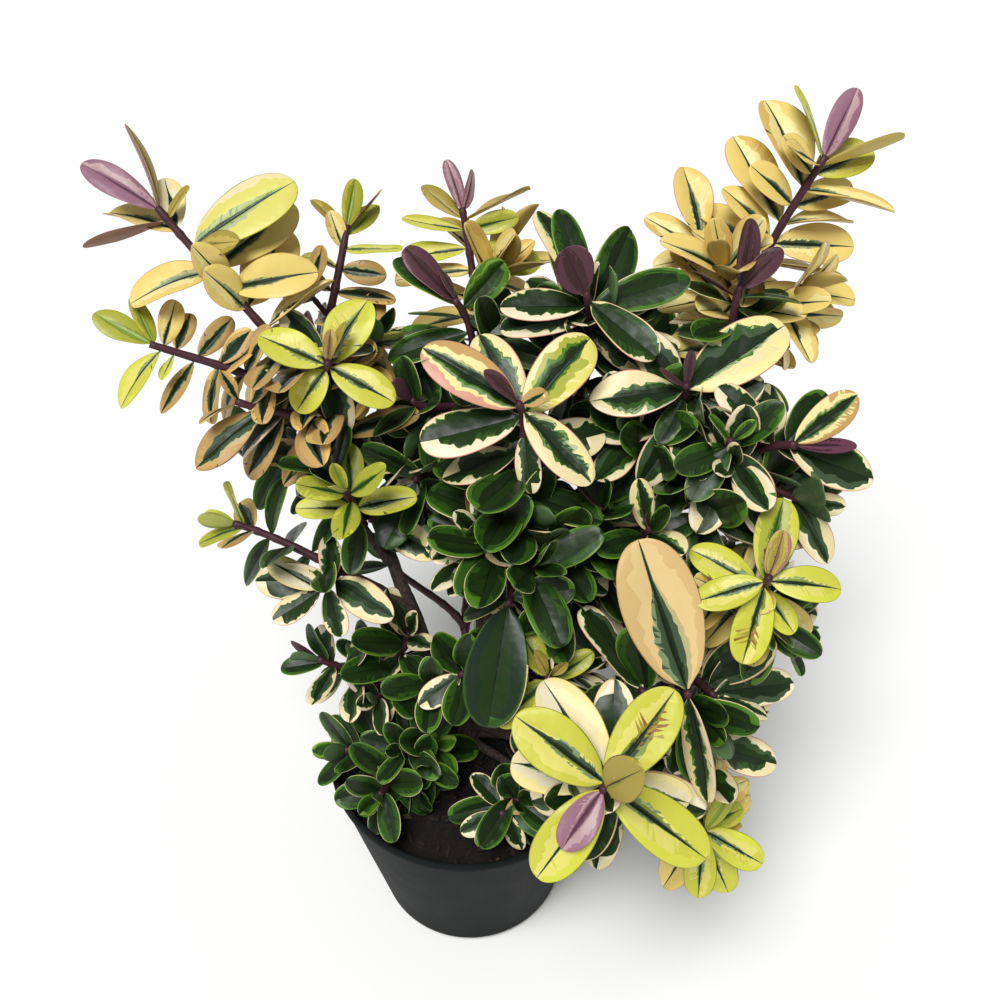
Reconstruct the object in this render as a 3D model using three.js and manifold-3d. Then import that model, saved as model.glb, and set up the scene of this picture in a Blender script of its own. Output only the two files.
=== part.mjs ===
// A variegated hebe shrub growing in a round nursery pot.
// Millimetres, +Z up, -Y is the plant's front. The origin is the centre of the pot's flat underside.
//
// A short trunk stands on the soil. Boughs spring from it, and each bough ends where a mass of
// foliage begins. A mass is one branching twig that carries opposite pairs of leaves, each pair
// a quarter turn from the last. Every piece keeps a small gap to the pieces it meets.
import * as THREE from "three";
import { mergeVertices } from "three/addons/utils/BufferGeometryUtils.js";
import Module from "manifold-3d";

const wasm = await Module();
wasm.setup();

// ---------------------------------------------------------------- driving dimensions

const GAP = 0.3; // clearance between neighbouring solids
const FINEST = 0.02; // detail smaller than this is smoothed out of a joined body
const WELD = 0.001; // points closer than this are one point

const POT = {
  height: 100,
  rimRadius: 65, // outside of the rim band
  rimBand: 9, // height of the rim band
  rimStep: 1.6, // how far the rim band stands out of the wall
  baseRadius: 47,
  baseRound: 3, // chamfer where the wall meets the underside
  wall: 2,
  sides: 32,
};

const SOIL = {
  edge: 88, // height of the soil at the pot's wall
  crown: 92, // height of the level top that the trunk stands on
  crownRadius: 30,
};

const TRUNK = {
  fork: [3, 6, 124], // where the trunk ends
  lean: [63, 75], // heading and rise as it reaches the fork
  footRadius: 6,
  forkRadius: 4.6,
  flare: 3, // extra radius of the root flare at the soil
  flareShare: 0.3, // share of the trunk's length that the flare takes
  sides: 12,
  steps: 6,
};

// radius: at the foot. taper: the tip's radius over it. step: length of a straight stretch.
// start and end: how stiffly a limb sets off and ends.
const BOUGH = { radius: 2.3, taper: 0.68, sides: 6, step: 32, start: 0.35, end: 0.3 };
const TWIG = { sides: 3, footRadius: 1.7, tipRadius: 1.1, step: 24, start: 0.3, end: 0.35 };

const LEAF = {
  slim: 0.47, // width over length
  widest: 0.06, // how far past its middle the leaf is widest, over the length
  blunt: 0.16, // how much fuller the outer half is than the inner one
  thick: 1.1, // where the blade is thickest
  fold: 0.1, // how far the margins rise over the midrib, over the width
  droop: 0.1, // how far the tip bends down, over the length
  foot: 0.2, // distance of the leaf's foot from the middle line of the twig
  clasp: 0.35, // share of the length in which the leaves of one twig may overlap
  light: 1.5, // how much a blade turns its face to the light
  sides: 6,
};

const UP = new THREE.Vector3(0, 0, 1);
const UPRIGHT = 0.15; // sine of the angle under which a limb counts as upright
const LIGHT = new THREE.Vector3(0, -0.5, 0.87); // where the blades turn to

// A pair's angle to the twig, and its leaves' share of the full length, from the tip down.
const OPENING = [16, 45, 64, 74, 80, 84];
const GROWTH = [0.62, 0.9, 1, 1, 0.95, 0.9];
const TURN = [0, 0.5, 1]; // how much of LEAF.light a pair has turned through, from the tip down
const INTERNODE = [0.35, 0.5, 0.8, 1]; // share of the full distance between pairs, from the tip down
const FIRST_PAIR = 2; // distance of the first pair below the tip
const BARE_FOOT = 1; // stretch at the foot of a shoot without leaves

// How far each leaf may stray from the rule, in degrees, and in shares of its size and distance.
const STRAY = { around: 7, opening: 7, twist: 14, size: 0.08, distance: 0.1 };

// Small side twigs, which spring from the leaf axils of a mass's first shoot.
const SPRIG = { length: 18, reach: 5, opening: 48, pairs: 2, leaf: 0.62, gap: 7, from: 0.15, to: 0.7 };

const ROUGHNESS = { pot: 0.6, soil: 0.95, bark: 0.8, leaf: 0.5 };
const COLOUR = {
  pot: 0x37393b,
  soil: 0x1d1712,
  bark: 0x5a463a,
  lime: 0xd2d25a,
  butter: 0xe2c680,
  edged: 0x4a6a48,
  green: 0x35582f,
};

// ---------------------------------------------------------------- the plant's plan

// from: the parent limb, and the share of its length at which the bough leaves it.
// out: the heading and rise in which the bough sets off. end: the same as it reaches its tip.
// radius: at its foot, where it isn't the usual one.
const BOUGHS = [
  { name: "left", from: ["trunk", 0.75], tip: [-50, 54, 234], out: [160, 50], end: [140, 60], radius: 3.6 },
  { name: "centre", from: ["trunk", 0.98], tip: [50, 76, 244], out: [70, 80], end: [60, 60], radius: 3.8 },
  { name: "right", from: ["trunk", 0.85], tip: [108, 90, 254], out: [30, 35], end: [40, 60], radius: 3.8 },
  { name: "front", from: ["trunk", 0.6], tip: [55, -32, 122], out: [-40, 30], end: [-60, 40], radius: 3 },
  { name: "left_inner", from: ["left", 0.8], tip: [-62, 78, 246], out: [120, 55], end: [100, 60] },
  { name: "left_mid", from: ["left", 0.6], tip: [-44, 34, 206], out: [-110, 40], end: [-115, 65] },
  { name: "left_low", from: ["left", 0.45], tip: [-50, 28, 182], out: [-170, 40], end: [-175, 35] },
  { name: "left_foot", from: ["trunk", 0.55], tip: [-30, 12, 121], out: [170, 25], end: [180, 35] },
  { name: "left_rim", from: ["trunk", 0.2], tip: [-20, -5, 104], out: [-160, 10], end: [-150, 30] },
  { name: "centre_left", from: ["centre", 0.6], tip: [6, 74, 222], out: [165, 45], end: [150, 60] },
  { name: "centre_front", from: ["centre", 0.4], tip: [18, 20, 196], out: [-110, 50], end: [-110, 65] },
  { name: "centre_low", from: ["centre", 0.25], tip: [48, 28, 164], out: [-20, 50], end: [-60, 60] },
  { name: "back_centre", from: ["centre", 0.7], tip: [8, 110, 246], out: [120, 55], end: [110, 60] },
  { name: "centre_right", from: ["centre", 0.62], tip: [82, 62, 226], out: [-20, 50], end: [-40, 65] },
  { name: "right_inner", from: ["right", 0.8], tip: [112, 68, 250], out: [-50, 65], end: [-20, 70] },
  { name: "right_mid", from: ["right", 0.6], tip: [108, 48, 220], out: [-60, 45], end: [-50, 50] },
  { name: "right_front", from: ["right", 0.3], tip: [106, 12, 172], out: [-50, 35], end: [-30, 60] },
  { name: "front_big", from: ["trunk", 0.72], tip: [86, 0, 150], out: [-15, 40], end: [-40, 50], radius: 3 },
  { name: "front_mid", from: ["trunk", 0.9], tip: [34, -8, 146], out: [-50, 60], end: [-90, 60] },
  { name: "front_low", from: ["trunk", 0.3], tip: [20, -22, 107], out: [-60, 15], end: [-110, 20] },
  { name: "right_low", from: ["trunk", 0.4], tip: [72, -18, 108], out: [-10, 15], end: [-30, 20] },
  { name: "right_side", from: ["trunk", 0.65], tip: [72, 38, 142], out: [25, 30], end: [20, 35] },
  { name: "back_left", from: ["left", 0.3], tip: [-48, 78, 182], out: [110, 50], end: [110, 55] },
  { name: "back_mid", from: ["centre", 0.2], tip: [14, 84, 168], out: [110, 45], end: [90, 50] },
  { name: "back_right", from: ["right", 0.35], tip: [84, 104, 190], out: [80, 40], end: [70, 50] },
  { name: "back_low", from: ["trunk", 0.5], tip: [-2, 44, 118], out: [95, 20], end: [95, 30] },
];

// A mass grows from the tip of the bough of the same name. Its first shoot runs on from the bough,
// and the others leave that one at a share of its length. grow: heading and rise at the shoot's tip.
// roll: turn of the first pair round the twig. leaf: full leaf length. gap: full distance of pairs.
const MASSES = [
  {
    name: "front",
    tint: "lime",
    shoots: [{ tip: [51, -86, 188], grow: [-110, 40], roll: 0, pairs: 6, leaf: 39, gap: 9 }],
    sprigs: 1,
  },
  {
    name: "front_big",
    tint: "butter",
    shoots: [
      { tip: [85, -50, 195], grow: [-105, 25], roll: 115, pairs: 1, leaf: 60, gap: 9, open: 82 },
      { tip: [102, -30, 170], grow: [-60, 10], roll: 45, pairs: 2, leaf: 38, gap: 10, at: 0.3 },
    ],
    sprigs: 0,
  },
  {
    name: "centre_front",
    tint: "edged",
    shoots: [
      { tip: [22, 24, 276], grow: [-120, 55], roll: 10, pairs: 6, leaf: 40, gap: 9 },
      { tip: [3, 22, 217], grow: [-155, 70], roll: 20, pairs: 3, leaf: 30, gap: 8, at: 0.08 },
      { tip: [27, 0, 214], grow: [-115, 15], roll: 20, pairs: 3, leaf: 32, gap: 9, at: 0.05 },
    ],
    sprigs: 1,
  },
  {
    name: "centre",
    tint: "edged",
    shoots: [
      { tip: [49, 66, 300], grow: [-125, 65], roll: 175, pairs: 6, leaf: 36, gap: 8 },
      { tip: [64, 84, 280], grow: [30, 55], roll: 20, pairs: 3, leaf: 34, gap: 8, at: 0.2 },
    ],
    sprigs: 1,
  },
  {
    name: "centre_right",
    tint: "edged",
    shoots: [
      { tip: [88, 40, 274], grow: [-115, 60], roll: 35, pairs: 5, leaf: 38, gap: 9 },
      { tip: [70, 44, 250], grow: [-150, 45], roll: 20, pairs: 3, leaf: 34, gap: 9, at: 0.15 },
    ],
    sprigs: 1,
  },
  {
    name: "centre_left",
    tint: "green",
    shoots: [
      { tip: [-4, 79, 290], grow: [180, 50], roll: 80, pairs: 5, leaf: 34, gap: 9 },
      { tip: [-23, 64, 251], grow: [180, 60], roll: 45, pairs: 3, leaf: 26, gap: 8, at: 0.2 },
      { tip: [-22, 48, 220], grow: [-135, 30], roll: 45, pairs: 3, leaf: 32, gap: 9, at: 0.05 },
    ],
    sprigs: 1,
  },
  {
    name: "centre_low",
    tint: "green",
    shoots: [
      { tip: [56, 22, 226], grow: [-105, 70], roll: 20, pairs: 4, leaf: 32, gap: 9 },
      { tip: [34, -4, 194], grow: [-115, 30], roll: 60, pairs: 3, leaf: 34, gap: 9, at: 0.1 },
      { tip: [75, 10, 225], grow: [-90, 60], roll: 30, pairs: 3, leaf: 28, gap: 8, at: 0.2 },
    ],
    sprigs: 1,
  },
  {
    name: "right_mid",
    tint: "edged",
    shoots: [
      { tip: [129, 19, 260], grow: [-40, 20], roll: 45, pairs: 4, leaf: 34, gap: 9 },
      { tip: [104, 21, 261], grow: [-105, 55], roll: 45, pairs: 3, leaf: 28, gap: 8, at: 0.15 },
      { tip: [136, 20, 232], grow: [-60, 20], roll: 0, pairs: 3, leaf: 34, gap: 9, at: 0.1 },
    ],
    sprigs: 0,
  },
  {
    name: "right_front",
    tint: "lime",
    shoots: [
      { tip: [115, -23, 230], grow: [-100, 60], roll: 165, pairs: 5, leaf: 31, gap: 9 },
      { tip: [128, 0, 196], grow: [-20, 20], roll: 20, pairs: 3, leaf: 30, gap: 9, at: 0.2 },
    ],
    sprigs: 1,
  },
  {
    name: "right",
    tint: "butter",
    shoots: [
      { tip: [147, 110, 338], grow: [25, 55], roll: 115, pairs: 7, leaf: 37, gap: 11 },
      { tip: [101, 113, 302], grow: [125, 60], roll: 0, pairs: 4, leaf: 36, gap: 10, at: 0.15 },
      { tip: [142, 90, 290], grow: [-10, 40], roll: 30, pairs: 3, leaf: 32, gap: 10, at: 0.25 },
    ],
    sprigs: 0,
  },
  {
    name: "right_inner",
    tint: "green",
    shoots: [{ tip: [112, 74, 299], grow: [20, 70], roll: 32, pairs: 4, leaf: 28, gap: 9 }],
    sprigs: 1,
  },
  {
    name: "left",
    tint: "butter",
    shoots: [
      { tip: [-122, 92, 324], grow: [150, 45], roll: 130, pairs: 7, leaf: 38, gap: 13 },
      { tip: [-125, 57, 282], grow: [-175, 25], roll: 0, pairs: 5, leaf: 27, gap: 10, at: 0.1 },
      { tip: [-92, 46, 262], grow: [180, 25], roll: 10, pairs: 3, leaf: 34, gap: 11, at: 0.04 },
    ],
    sprigs: 0,
  },
  {
    name: "left_inner",
    tint: "lime",
    shoots: [
      { tip: [-50, 111, 308], grow: [75, 55], roll: 20, pairs: 5, leaf: 26, gap: 10 },
      { tip: [-53, 48, 279], grow: [-75, 55], roll: 130, pairs: 4, leaf: 28, gap: 8, at: 0.08 },
      { tip: [-38, 82, 270], grow: [0, 50], roll: 40, pairs: 3, leaf: 28, gap: 9, at: 0.15 },
    ],
    sprigs: 0,
  },
  {
    name: "left_mid",
    tint: "lime",
    shoots: [{ tip: [-48, 24, 234], grow: [-125, 65], roll: 125, pairs: 4, leaf: 26, gap: 8 }],
    sprigs: 1,
  },
  {
    name: "left_low",
    tint: "lime",
    shoots: [
      { tip: [-100, 34, 207], grow: [180, 20], roll: 20, pairs: 5, leaf: 25, gap: 9 },
      { tip: [-62, 12, 189], grow: [-150, 35], roll: 0, pairs: 3, leaf: 34, gap: 10, at: 0.08 },
    ],
    sprigs: 1,
  },
  {
    name: "left_foot",
    tint: "edged",
    shoots: [
      { tip: [-67, 10, 147], grow: [-175, 35], roll: 0, pairs: 4, leaf: 24, gap: 8 },
      { tip: [-26, 14, 160], grow: [-90, 70], roll: 30, pairs: 3, leaf: 27, gap: 9, at: 0.1 },
    ],
    sprigs: 0,
  },
  {
    name: "left_rim",
    tint: "green",
    shoots: [
      { tip: [-56, -13, 111], grow: [-150, 30], roll: 30, pairs: 3, leaf: 25, gap: 8 },
      { tip: [-14, -15, 118], grow: [-90, 65], roll: 0, pairs: 3, leaf: 25, gap: 7, at: 0.1 },
      { tip: [-38, -36, 110], grow: [-110, 35], roll: 45, pairs: 3, leaf: 25, gap: 8, at: 0.15 },
    ],
    sprigs: 0,
  },
  {
    name: "front_mid",
    tint: "lime",
    shoots: [{ tip: [34, -31, 183], grow: [-115, 55], roll: 20, pairs: 4, leaf: 27, gap: 8 }],
    sprigs: 1,
  },
  {
    name: "right_low",
    tint: "lime",
    shoots: [
      { tip: [97, -67, 130], grow: [-100, 45], roll: 0, pairs: 4, leaf: 32, gap: 9 },
      { tip: [100, -36, 150], grow: [15, 55], roll: 20, pairs: 3, leaf: 34, gap: 10, at: 0.1 },
    ],
    sprigs: 0,
  },
  {
    name: "front_low",
    tint: "edged",
    shoots: [{ tip: [15, -46, 110], grow: [-130, 20], roll: 0, pairs: 3, leaf: 28, gap: 8 }],
    sprigs: 1,
  },
  {
    name: "back_centre",
    tint: "butter",
    shoots: [
      { tip: [-2, 140, 303], grow: [110, 60], roll: 0, pairs: 5, leaf: 36, gap: 10 },
      { tip: [16, 146, 280], grow: [60, 50], roll: 20, pairs: 3, leaf: 34, gap: 10, at: 0.2 },
    ],
    sprigs: 0,
  },
  {
    name: "right_side",
    tint: "green",
    shoots: [{ tip: [116, 44, 172], grow: [20, 50], roll: 20, pairs: 4, leaf: 32, gap: 10 }],
    sprigs: 1,
  },
  {
    name: "back_left",
    tint: "green",
    shoots: [
      { tip: [-76, 130, 232], grow: [120, 55], roll: 20, pairs: 4, leaf: 36, gap: 10 },
      { tip: [-100, 92, 214], grow: [170, 40], roll: 50, pairs: 3, leaf: 32, gap: 10, at: 0.15 },
      { tip: [-30, 120, 216], grow: [70, 55], roll: 10, pairs: 3, leaf: 34, gap: 10, at: 0.2 },
    ],
    sprigs: 0,
  },
  {
    name: "back_mid",
    tint: "green",
    shoots: [
      { tip: [20, 156, 214], grow: [90, 50], roll: 20, pairs: 5, leaf: 36, gap: 10 },
      { tip: [-18, 132, 190], grow: [140, 40], roll: 50, pairs: 3, leaf: 34, gap: 10, at: 0.15 },
      { tip: [56, 138, 196], grow: [50, 45], roll: 10, pairs: 3, leaf: 34, gap: 10, at: 0.2 },
    ],
    sprigs: 0,
  },
  {
    name: "back_right",
    tint: "green",
    shoots: [
      { tip: [110, 150, 236], grow: [60, 55], roll: 20, pairs: 4, leaf: 36, gap: 10 },
      { tip: [130, 116, 206], grow: [10, 40], roll: 50, pairs: 3, leaf: 34, gap: 10, at: 0.15 },
    ],
    sprigs: 1,
  },
  {
    name: "back_low",
    tint: "green",
    shoots: [
      { tip: [0, 104, 148], grow: [90, 40], roll: 20, pairs: 4, leaf: 32, gap: 10 },
      { tip: [-44, 84, 140], grow: [140, 35], roll: 50, pairs: 3, leaf: 30, gap: 10, at: 0.12 },
      { tip: [46, 92, 144], grow: [50, 35], roll: 10, pairs: 3, leaf: 30, gap: 10, at: 0.15 },
    ],
    sprigs: 0,
  },
];

// ---------------------------------------------------------------- small helpers

const point = (xyz) => new THREE.Vector3(...xyz);
const radians = THREE.MathUtils.degToRad;
const lerp = THREE.MathUtils.lerp;
const listed = (table, step) => table[Math.min(step, table.length - 1)];

// The direction with a heading, counted from +X towards +Y, and a rise over the level.
function direction([heading, rise]) {
  const across = Math.cos(radians(rise));
  const x = across * Math.cos(radians(heading));
  const y = across * Math.sin(radians(heading));
  return new THREE.Vector3(x, y, Math.sin(radians(rise)));
}

// The direction an angle away from the first of two square directions, towards the second.
function between(first, second, angle) {
  return first.clone().multiplyScalar(Math.cos(angle)).addScaledVector(second, Math.sin(angle));
}

// The part of a vector that is square to an axis, as a unit vector.
function squareTo(axis, vector) {
  return vector.clone().addScaledVector(axis, -vector.dot(axis)).normalize();
}

// A level direction square to two others, or +X where both are upright.
function levelOf(one, other) {
  const level = one.clone().cross(other);
  const upright = level.length() < UPRIGHT * one.length() * other.length();
  return upright ? new THREE.Vector3(1, 0, 0) : level;
}

// A repeatable stream of numbers. spread gives one from -reach to reach.
function seeded(seed) {
  let state = (seed * 7919 + 17) % 2147483647;
  const next = () => {
    state = (state * 48271) % 2147483647;
    return state / 2147483647;
  };
  next();
  next();
  return { next, spread: (reach) => (next() * 2 - 1) * reach };
}

// A curve from foot to tip that sets off along one direction and ends along another.
function route(foot, out, tip, grow, start, end) {
  const span = foot.distanceTo(tip);
  const first = foot.clone().addScaledVector(out, span * start);
  const second = tip.clone().addScaledVector(grow, -span * end);
  return new THREE.CubicBezierCurve3(foot, first, second, tip);
}

// A closed geometry as a solid that can be joined and cut.
function solidOf(geometry) {
  geometry.deleteAttribute("normal");
  geometry.deleteAttribute("uv");
  const merged = mergeVertices(geometry, WELD);
  const vertProperties = merged.getAttribute("position").array;
  const triVerts = new Uint32Array(merged.getIndex().array);
  return new wasm.Manifold(new wasm.Mesh({ numProp: 3, vertProperties, triVerts }));
}

function geometryOf(solid) {
  const mesh = solid.getMesh();
  const geometry = new THREE.BufferGeometry();
  geometry.setAttribute("position", new THREE.BufferAttribute(mesh.vertProperties, 3));
  geometry.setIndex(new THREE.BufferAttribute(mesh.triVerts, 1));
  return geometry;
}

// The largest body of a solid: no loose scrap, and no hollow sealed inside it.
function largestBody(solid) {
  const bodies = solid.decompose();
  return bodies.reduce((best, body) => (body.volume() > best.volume() ? body : best));
}

function boxesMeet(one, other) {
  const a = one.boundingBox();
  const b = other.boundingBox();
  return [0, 1, 2].every((axis) => a.min[axis] < b.max[axis] && b.min[axis] < a.max[axis]);
}

const touches = (solid, others) =>
  others.some((other) => boxesMeet(solid, other) && !solid.intersect(other).isEmpty());

// ---------------------------------------------------------------- shapes

// Moves each point of a geometry to where place(x, y, z) says.
function shape(geometry, place) {
  const position = geometry.getAttribute("position");
  for (let index = 0; index < position.count; index += 1) {
    const moved = place(position.getX(index), position.getY(index), position.getZ(index));
    position.setXYZ(index, moved.x, moved.y, moved.z);
  }
  return geometry;
}

// A round limb along a curve, flat at both ends. radiusAt gives its radius at a share of its length.
function limb(curve, radiusAt, sides, steps) {
  const chord = curve.getPoint(1).sub(curve.getPoint(0));
  const reference = levelOf(UP, chord);
  const geometry = new THREE.CylinderGeometry(1, 1, 1, sides, steps);
  return solidOf(
    shape(geometry, (x, y, z) => {
      const share = THREE.MathUtils.clamp(y + 0.5, 0, 1);
      const along = curve.getTangent(share);
      const side = squareTo(along, reference);
      const other = side.clone().cross(along);
      const radius = radiusAt(share);
      return curve
        .getPoint(share)
        .addScaledVector(side, x * radius)
        .addScaledVector(other, z * radius);
    }),
  );
}

// A leaf: six-cornered, widest beyond its middle, folded along the midrib and bent down at the tip.
// grown adds a margin all round, which keeps the leaf clear of its neighbours.
function blade(leaf, grown = 0) {
  const length = leaf.length + grown;
  const halfWidth = (leaf.length * LEAF.slim) / 2 + grown;
  const halfThick = LEAF.thick / 2 + grown;
  const corner = Math.sin(Math.PI / 3); // how far out the side corners of the unit shape lie
  const across = leaf.axis.clone().cross(leaf.normal);
  return solidOf(
    shape(new THREE.SphereGeometry(1, LEAF.sides, 2), (x, y, z) => {
      const share = 0.5 + x / 2 + LEAF.widest * (1 - x * x);
      const out = (z / corner) * (1 + LEAF.blunt * x) * halfWidth;
      const up = y * halfThick + LEAF.fold * Math.abs(out) - LEAF.droop * length * share * share;
      return leaf.foot
        .clone()
        .addScaledVector(leaf.axis, share * length + LEAF.foot)
        .addScaledVector(across, out)
        .addScaledVector(leaf.normal, up);
    }),
  );
}

// The leaves of a shoot: opposite pairs from its tip down, each a quarter turn from the last.
function leavesOf(shoot, random) {
  const span = shoot.curve.getLength();
  const reference = levelOf(shoot.curve.getTangent(1), UP);
  const leaves = [];
  let below = FIRST_PAIR;
  for (let pair = 0; pair < shoot.pairs && below < span - BARE_FOOT; pair += 1) {
    const share = 1 - below / span;
    const along = shoot.curve.getTangentAt(share);
    const side = squareTo(along, reference);
    const other = along.clone().cross(side);
    for (const half of [0, 180]) {
      const around = radians(shoot.roll + 90 * pair + half + random.spread(STRAY.around));
      const open = radians((shoot.open ?? listed(OPENING, pair)) + random.spread(STRAY.opening));
      const growth = shoot.open ? 1 : listed(GROWTH, pair);
      const length = shoot.leaf * growth * (1 + random.spread(STRAY.size));
      const twist = radians(random.spread(STRAY.twist));
      const outward = between(side, other, around);
      const axis = between(along, outward, open);
      const face = between(outward.negate(), along, open).applyAxisAngle(axis, twist);
      face.addScaledVector(squareTo(axis, LIGHT), LEAF.light * listed(TURN, pair));
      const foot = shoot.curve.getPointAt(share);
      leaves.push({ foot, axis, normal: squareTo(axis, face), length });
    }
    below += shoot.gap * listed(INTERNODE, pair) * (1 + random.spread(STRAY.distance));
  }
  return leaves;
}

// ---------------------------------------------------------------- pot and soil

function pot() {
  const wallTop = POT.height - POT.rimBand;
  const wallRadius = POT.rimRadius - POT.rimStep;
  const outline = [
    [0, 0],
    [POT.baseRadius - POT.baseRound, 0],
    [POT.baseRadius, POT.baseRound],
    [wallRadius, wallTop],
    [POT.rimRadius, wallTop],
    [POT.rimRadius, POT.height],
    [POT.rimRadius - POT.wall - POT.rimStep, POT.height],
    [wallRadius - POT.wall, wallTop],
    [POT.baseRadius - POT.wall, POT.baseRound],
    [0, POT.baseRound],
  ];
  return lathe(outline);
}

// The soil fills the pot, clear of its wall and floor.
function soil() {
  const flare = POT.rimRadius - POT.rimStep - POT.baseRadius;
  const slope = flare / (POT.height - POT.rimBand - POT.baseRound);
  const inside = (height) => POT.baseRadius - POT.wall + slope * (height - POT.baseRound) - GAP;
  const floor = POT.baseRound + GAP;
  return lathe([
    [0, floor],
    [inside(floor), floor],
    [inside(SOIL.edge), SOIL.edge],
    [SOIL.crownRadius, SOIL.crown],
    [0, SOIL.crown],
  ]);
}

// A body turned about the pot's axis from [radius, height] points.
function lathe(outline) {
  const profile = outline.map(([radius, height]) => new THREE.Vector2(radius, height));
  return solidOf(new THREE.LatheGeometry(profile, POT.sides).rotateX(Math.PI / 2));
}

// ---------------------------------------------------------------- trunk and boughs

function trunkRoute() {
  const foot = new THREE.Vector3(0, 0, SOIL.crown + GAP);
  return route(foot, UP, point(TRUNK.fork), direction(TRUNK.lean), BOUGH.start, BOUGH.end);
}

function trunkRadius(share) {
  const flare = TRUNK.flare * Math.max(0, 1 - share / TRUNK.flareShare) ** 2;
  return lerp(TRUNK.footRadius, TRUNK.forkRadius, share) + flare;
}

// All limbs by name, each with its curve, its solid, and a copy with the gap around it.
function growLimbs() {
  const limbs = new Map();
  const curve = trunkRoute();
  limbs.set("trunk", {
    curve,
    solid: limb(curve, trunkRadius, TRUNK.sides, TRUNK.steps),
    clear: limb(curve, (share) => trunkRadius(share) + GAP, TRUNK.sides, TRUNK.steps),
  });
  for (const plan of BOUGHS) {
    const [parent, at] = plan.from;
    const foot = limbs.get(parent).curve.getPointAt(at);
    const [out, end] = [direction(plan.out), direction(plan.end)];
    const bough = route(foot, out, point(plan.tip), end, BOUGH.start, BOUGH.end);
    const footRadius = plan.radius ?? BOUGH.radius;
    const radiusAt = (share) => footRadius * lerp(1, BOUGH.taper, share);
    const steps = Math.max(2, Math.round(bough.getLength() / BOUGH.step));
    let solid = limb(bough, radiusAt, BOUGH.sides, steps);
    for (const other of limbs.values()) {
      solid = largestBody(solid.subtract(other.clear));
    }
    const clear = limb(bough, (share) => radiusAt(share) + GAP, BOUGH.sides, steps);
    limbs.set(plan.name, { curve: bough, solid, clear });
  }
  return limbs;
}

// ---------------------------------------------------------------- masses of foliage

// The curve of each shoot of a mass. The first runs on from the bough, a small gap past its tip.
function shootsOf(plan, bough, random) {
  const shoots = [];
  const out = bough.getTangent(1);
  const foot = bough.getPoint(1).addScaledVector(out, GAP);
  for (const shoot of plan.shoots) {
    const leader = shoots[0];
    const from = leader ? leader.curve.getPointAt(shoot.at) : foot;
    const tip = point(shoot.tip);
    const off = leader
      ? leader.curve.getTangentAt(shoot.at).add(tip.clone().sub(from).normalize()).normalize()
      : out;
    shoots.push({ ...shoot, curve: route(from, off, tip, direction(shoot.grow), TWIG.start, TWIG.end) });
  }
  const leader = shoots[0];
  for (let sprig = 0; sprig < plan.sprigs; sprig += 1) {
    const share = lerp(SPRIG.from, SPRIG.to, (sprig + random.next()) / plan.sprigs);
    const along = leader.curve.getTangentAt(share);
    const side = squareTo(along, LIGHT).applyAxisAngle(along, random.next() * 2 * Math.PI);
    const grow = between(along, side, radians(SPRIG.opening));
    const from = leader.curve.getPointAt(share);
    const tip = from.clone().addScaledVector(grow, SPRIG.length + random.spread(SPRIG.reach));
    shoots.push({
      curve: route(from, grow, tip, grow.clone().add(LIGHT).normalize(), TWIG.start, TWIG.end),
      roll: random.next() * 180,
      pairs: SPRIG.pairs,
      leaf: leader.leaf * SPRIG.leaf,
      gap: SPRIG.gap,
    });
  }
  return shoots;
}

function twig(shoot, grown = 0) {
  const steps = Math.max(1, Math.round(shoot.curve.getLength() / TWIG.step));
  const radiusAt = (share) => lerp(TWIG.footRadius, TWIG.tipRadius, share) + grown;
  return limb(shoot.curve, radiusAt, TWIG.sides, steps);
}

// Twigs go in first, on all masses, and leaves then fill what is left. A side twig or a leaf that
// would come too close to another piece is left out, and so is a leaf that would cut across
// another one of its own mass outside its foot.
function growMasses(limbs, fixed) {
  const wood = [...limbs.values()].map((one) => one.solid).concat(fixed);
  const masses = MASSES.map((plan, index) => {
    const random = seeded(index + 1);
    const shoots = shootsOf(plan, limbs.get(plan.name).curve, random);
    return { plan, random, shoots, twigs: [], blades: [] };
  });
  const others = (mass, kind) => masses.filter((one) => one !== mass).flatMap((one) => one[kind]);
  for (const mass of masses) {
    const near = [...wood, ...others(mass, "twigs")];
    mass.shoots = mass.shoots.filter((shoot) => !touches(twig(shoot, GAP), near));
    mass.twigs = mass.shoots.map((shoot) => twig(shoot));
  }
  for (const mass of masses) {
    const near = [...wood, ...others(mass, "twigs"), ...others(mass, "blades")];
    for (const leaf of mass.shoots.flatMap((shoot) => leavesOf(shoot, mass.random))) {
      const outer = {
        ...leaf,
        foot: leaf.foot.clone().addScaledVector(leaf.axis, leaf.length * LEAF.clasp),
        length: leaf.length * (1 - LEAF.clasp),
      };
      if (!touches(blade(leaf, GAP), near) && !touches(blade(outer), mass.blades)) {
        mass.blades.push(blade(leaf));
      }
    }
  }
  return masses;
}

// ---------------------------------------------------------------- the plant

function finish(solid, name, colour, roughness) {
  const geometry = geometryOf(largestBody(solidOf(geometryOf(solid))));
  geometry.computeVertexNormals();
  const material = new THREE.MeshStandardMaterial({ color: colour, roughness, metalness: 0 });
  const part = new THREE.Mesh(geometry, material);
  part.name = name;
  return part;
}

const hebe = new THREE.Group();
const potSolid = pot();
const soilSolid = soil();
hebe.add(finish(potSolid, "pot", COLOUR.pot, ROUGHNESS.pot));
hebe.add(finish(soilSolid, "soil", COLOUR.soil, ROUGHNESS.soil));

const limbs = growLimbs();
for (const [name, one] of limbs) {
  const called = name === "trunk" ? name : `bough_${name}`;
  hebe.add(finish(one.solid, called, COLOUR.bark, ROUGHNESS.bark));
}

for (const mass of growMasses(limbs, [potSolid, soilSolid])) {
  const solid = wasm.Manifold.union([...mass.twigs, ...mass.blades]).simplify(FINEST);
  hebe.add(finish(solid, `mass_${mass.plan.name}`, COLOUR[mass.plan.tint], ROUGHNESS.leaf));
}

export default hebe;
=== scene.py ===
import math

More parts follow.
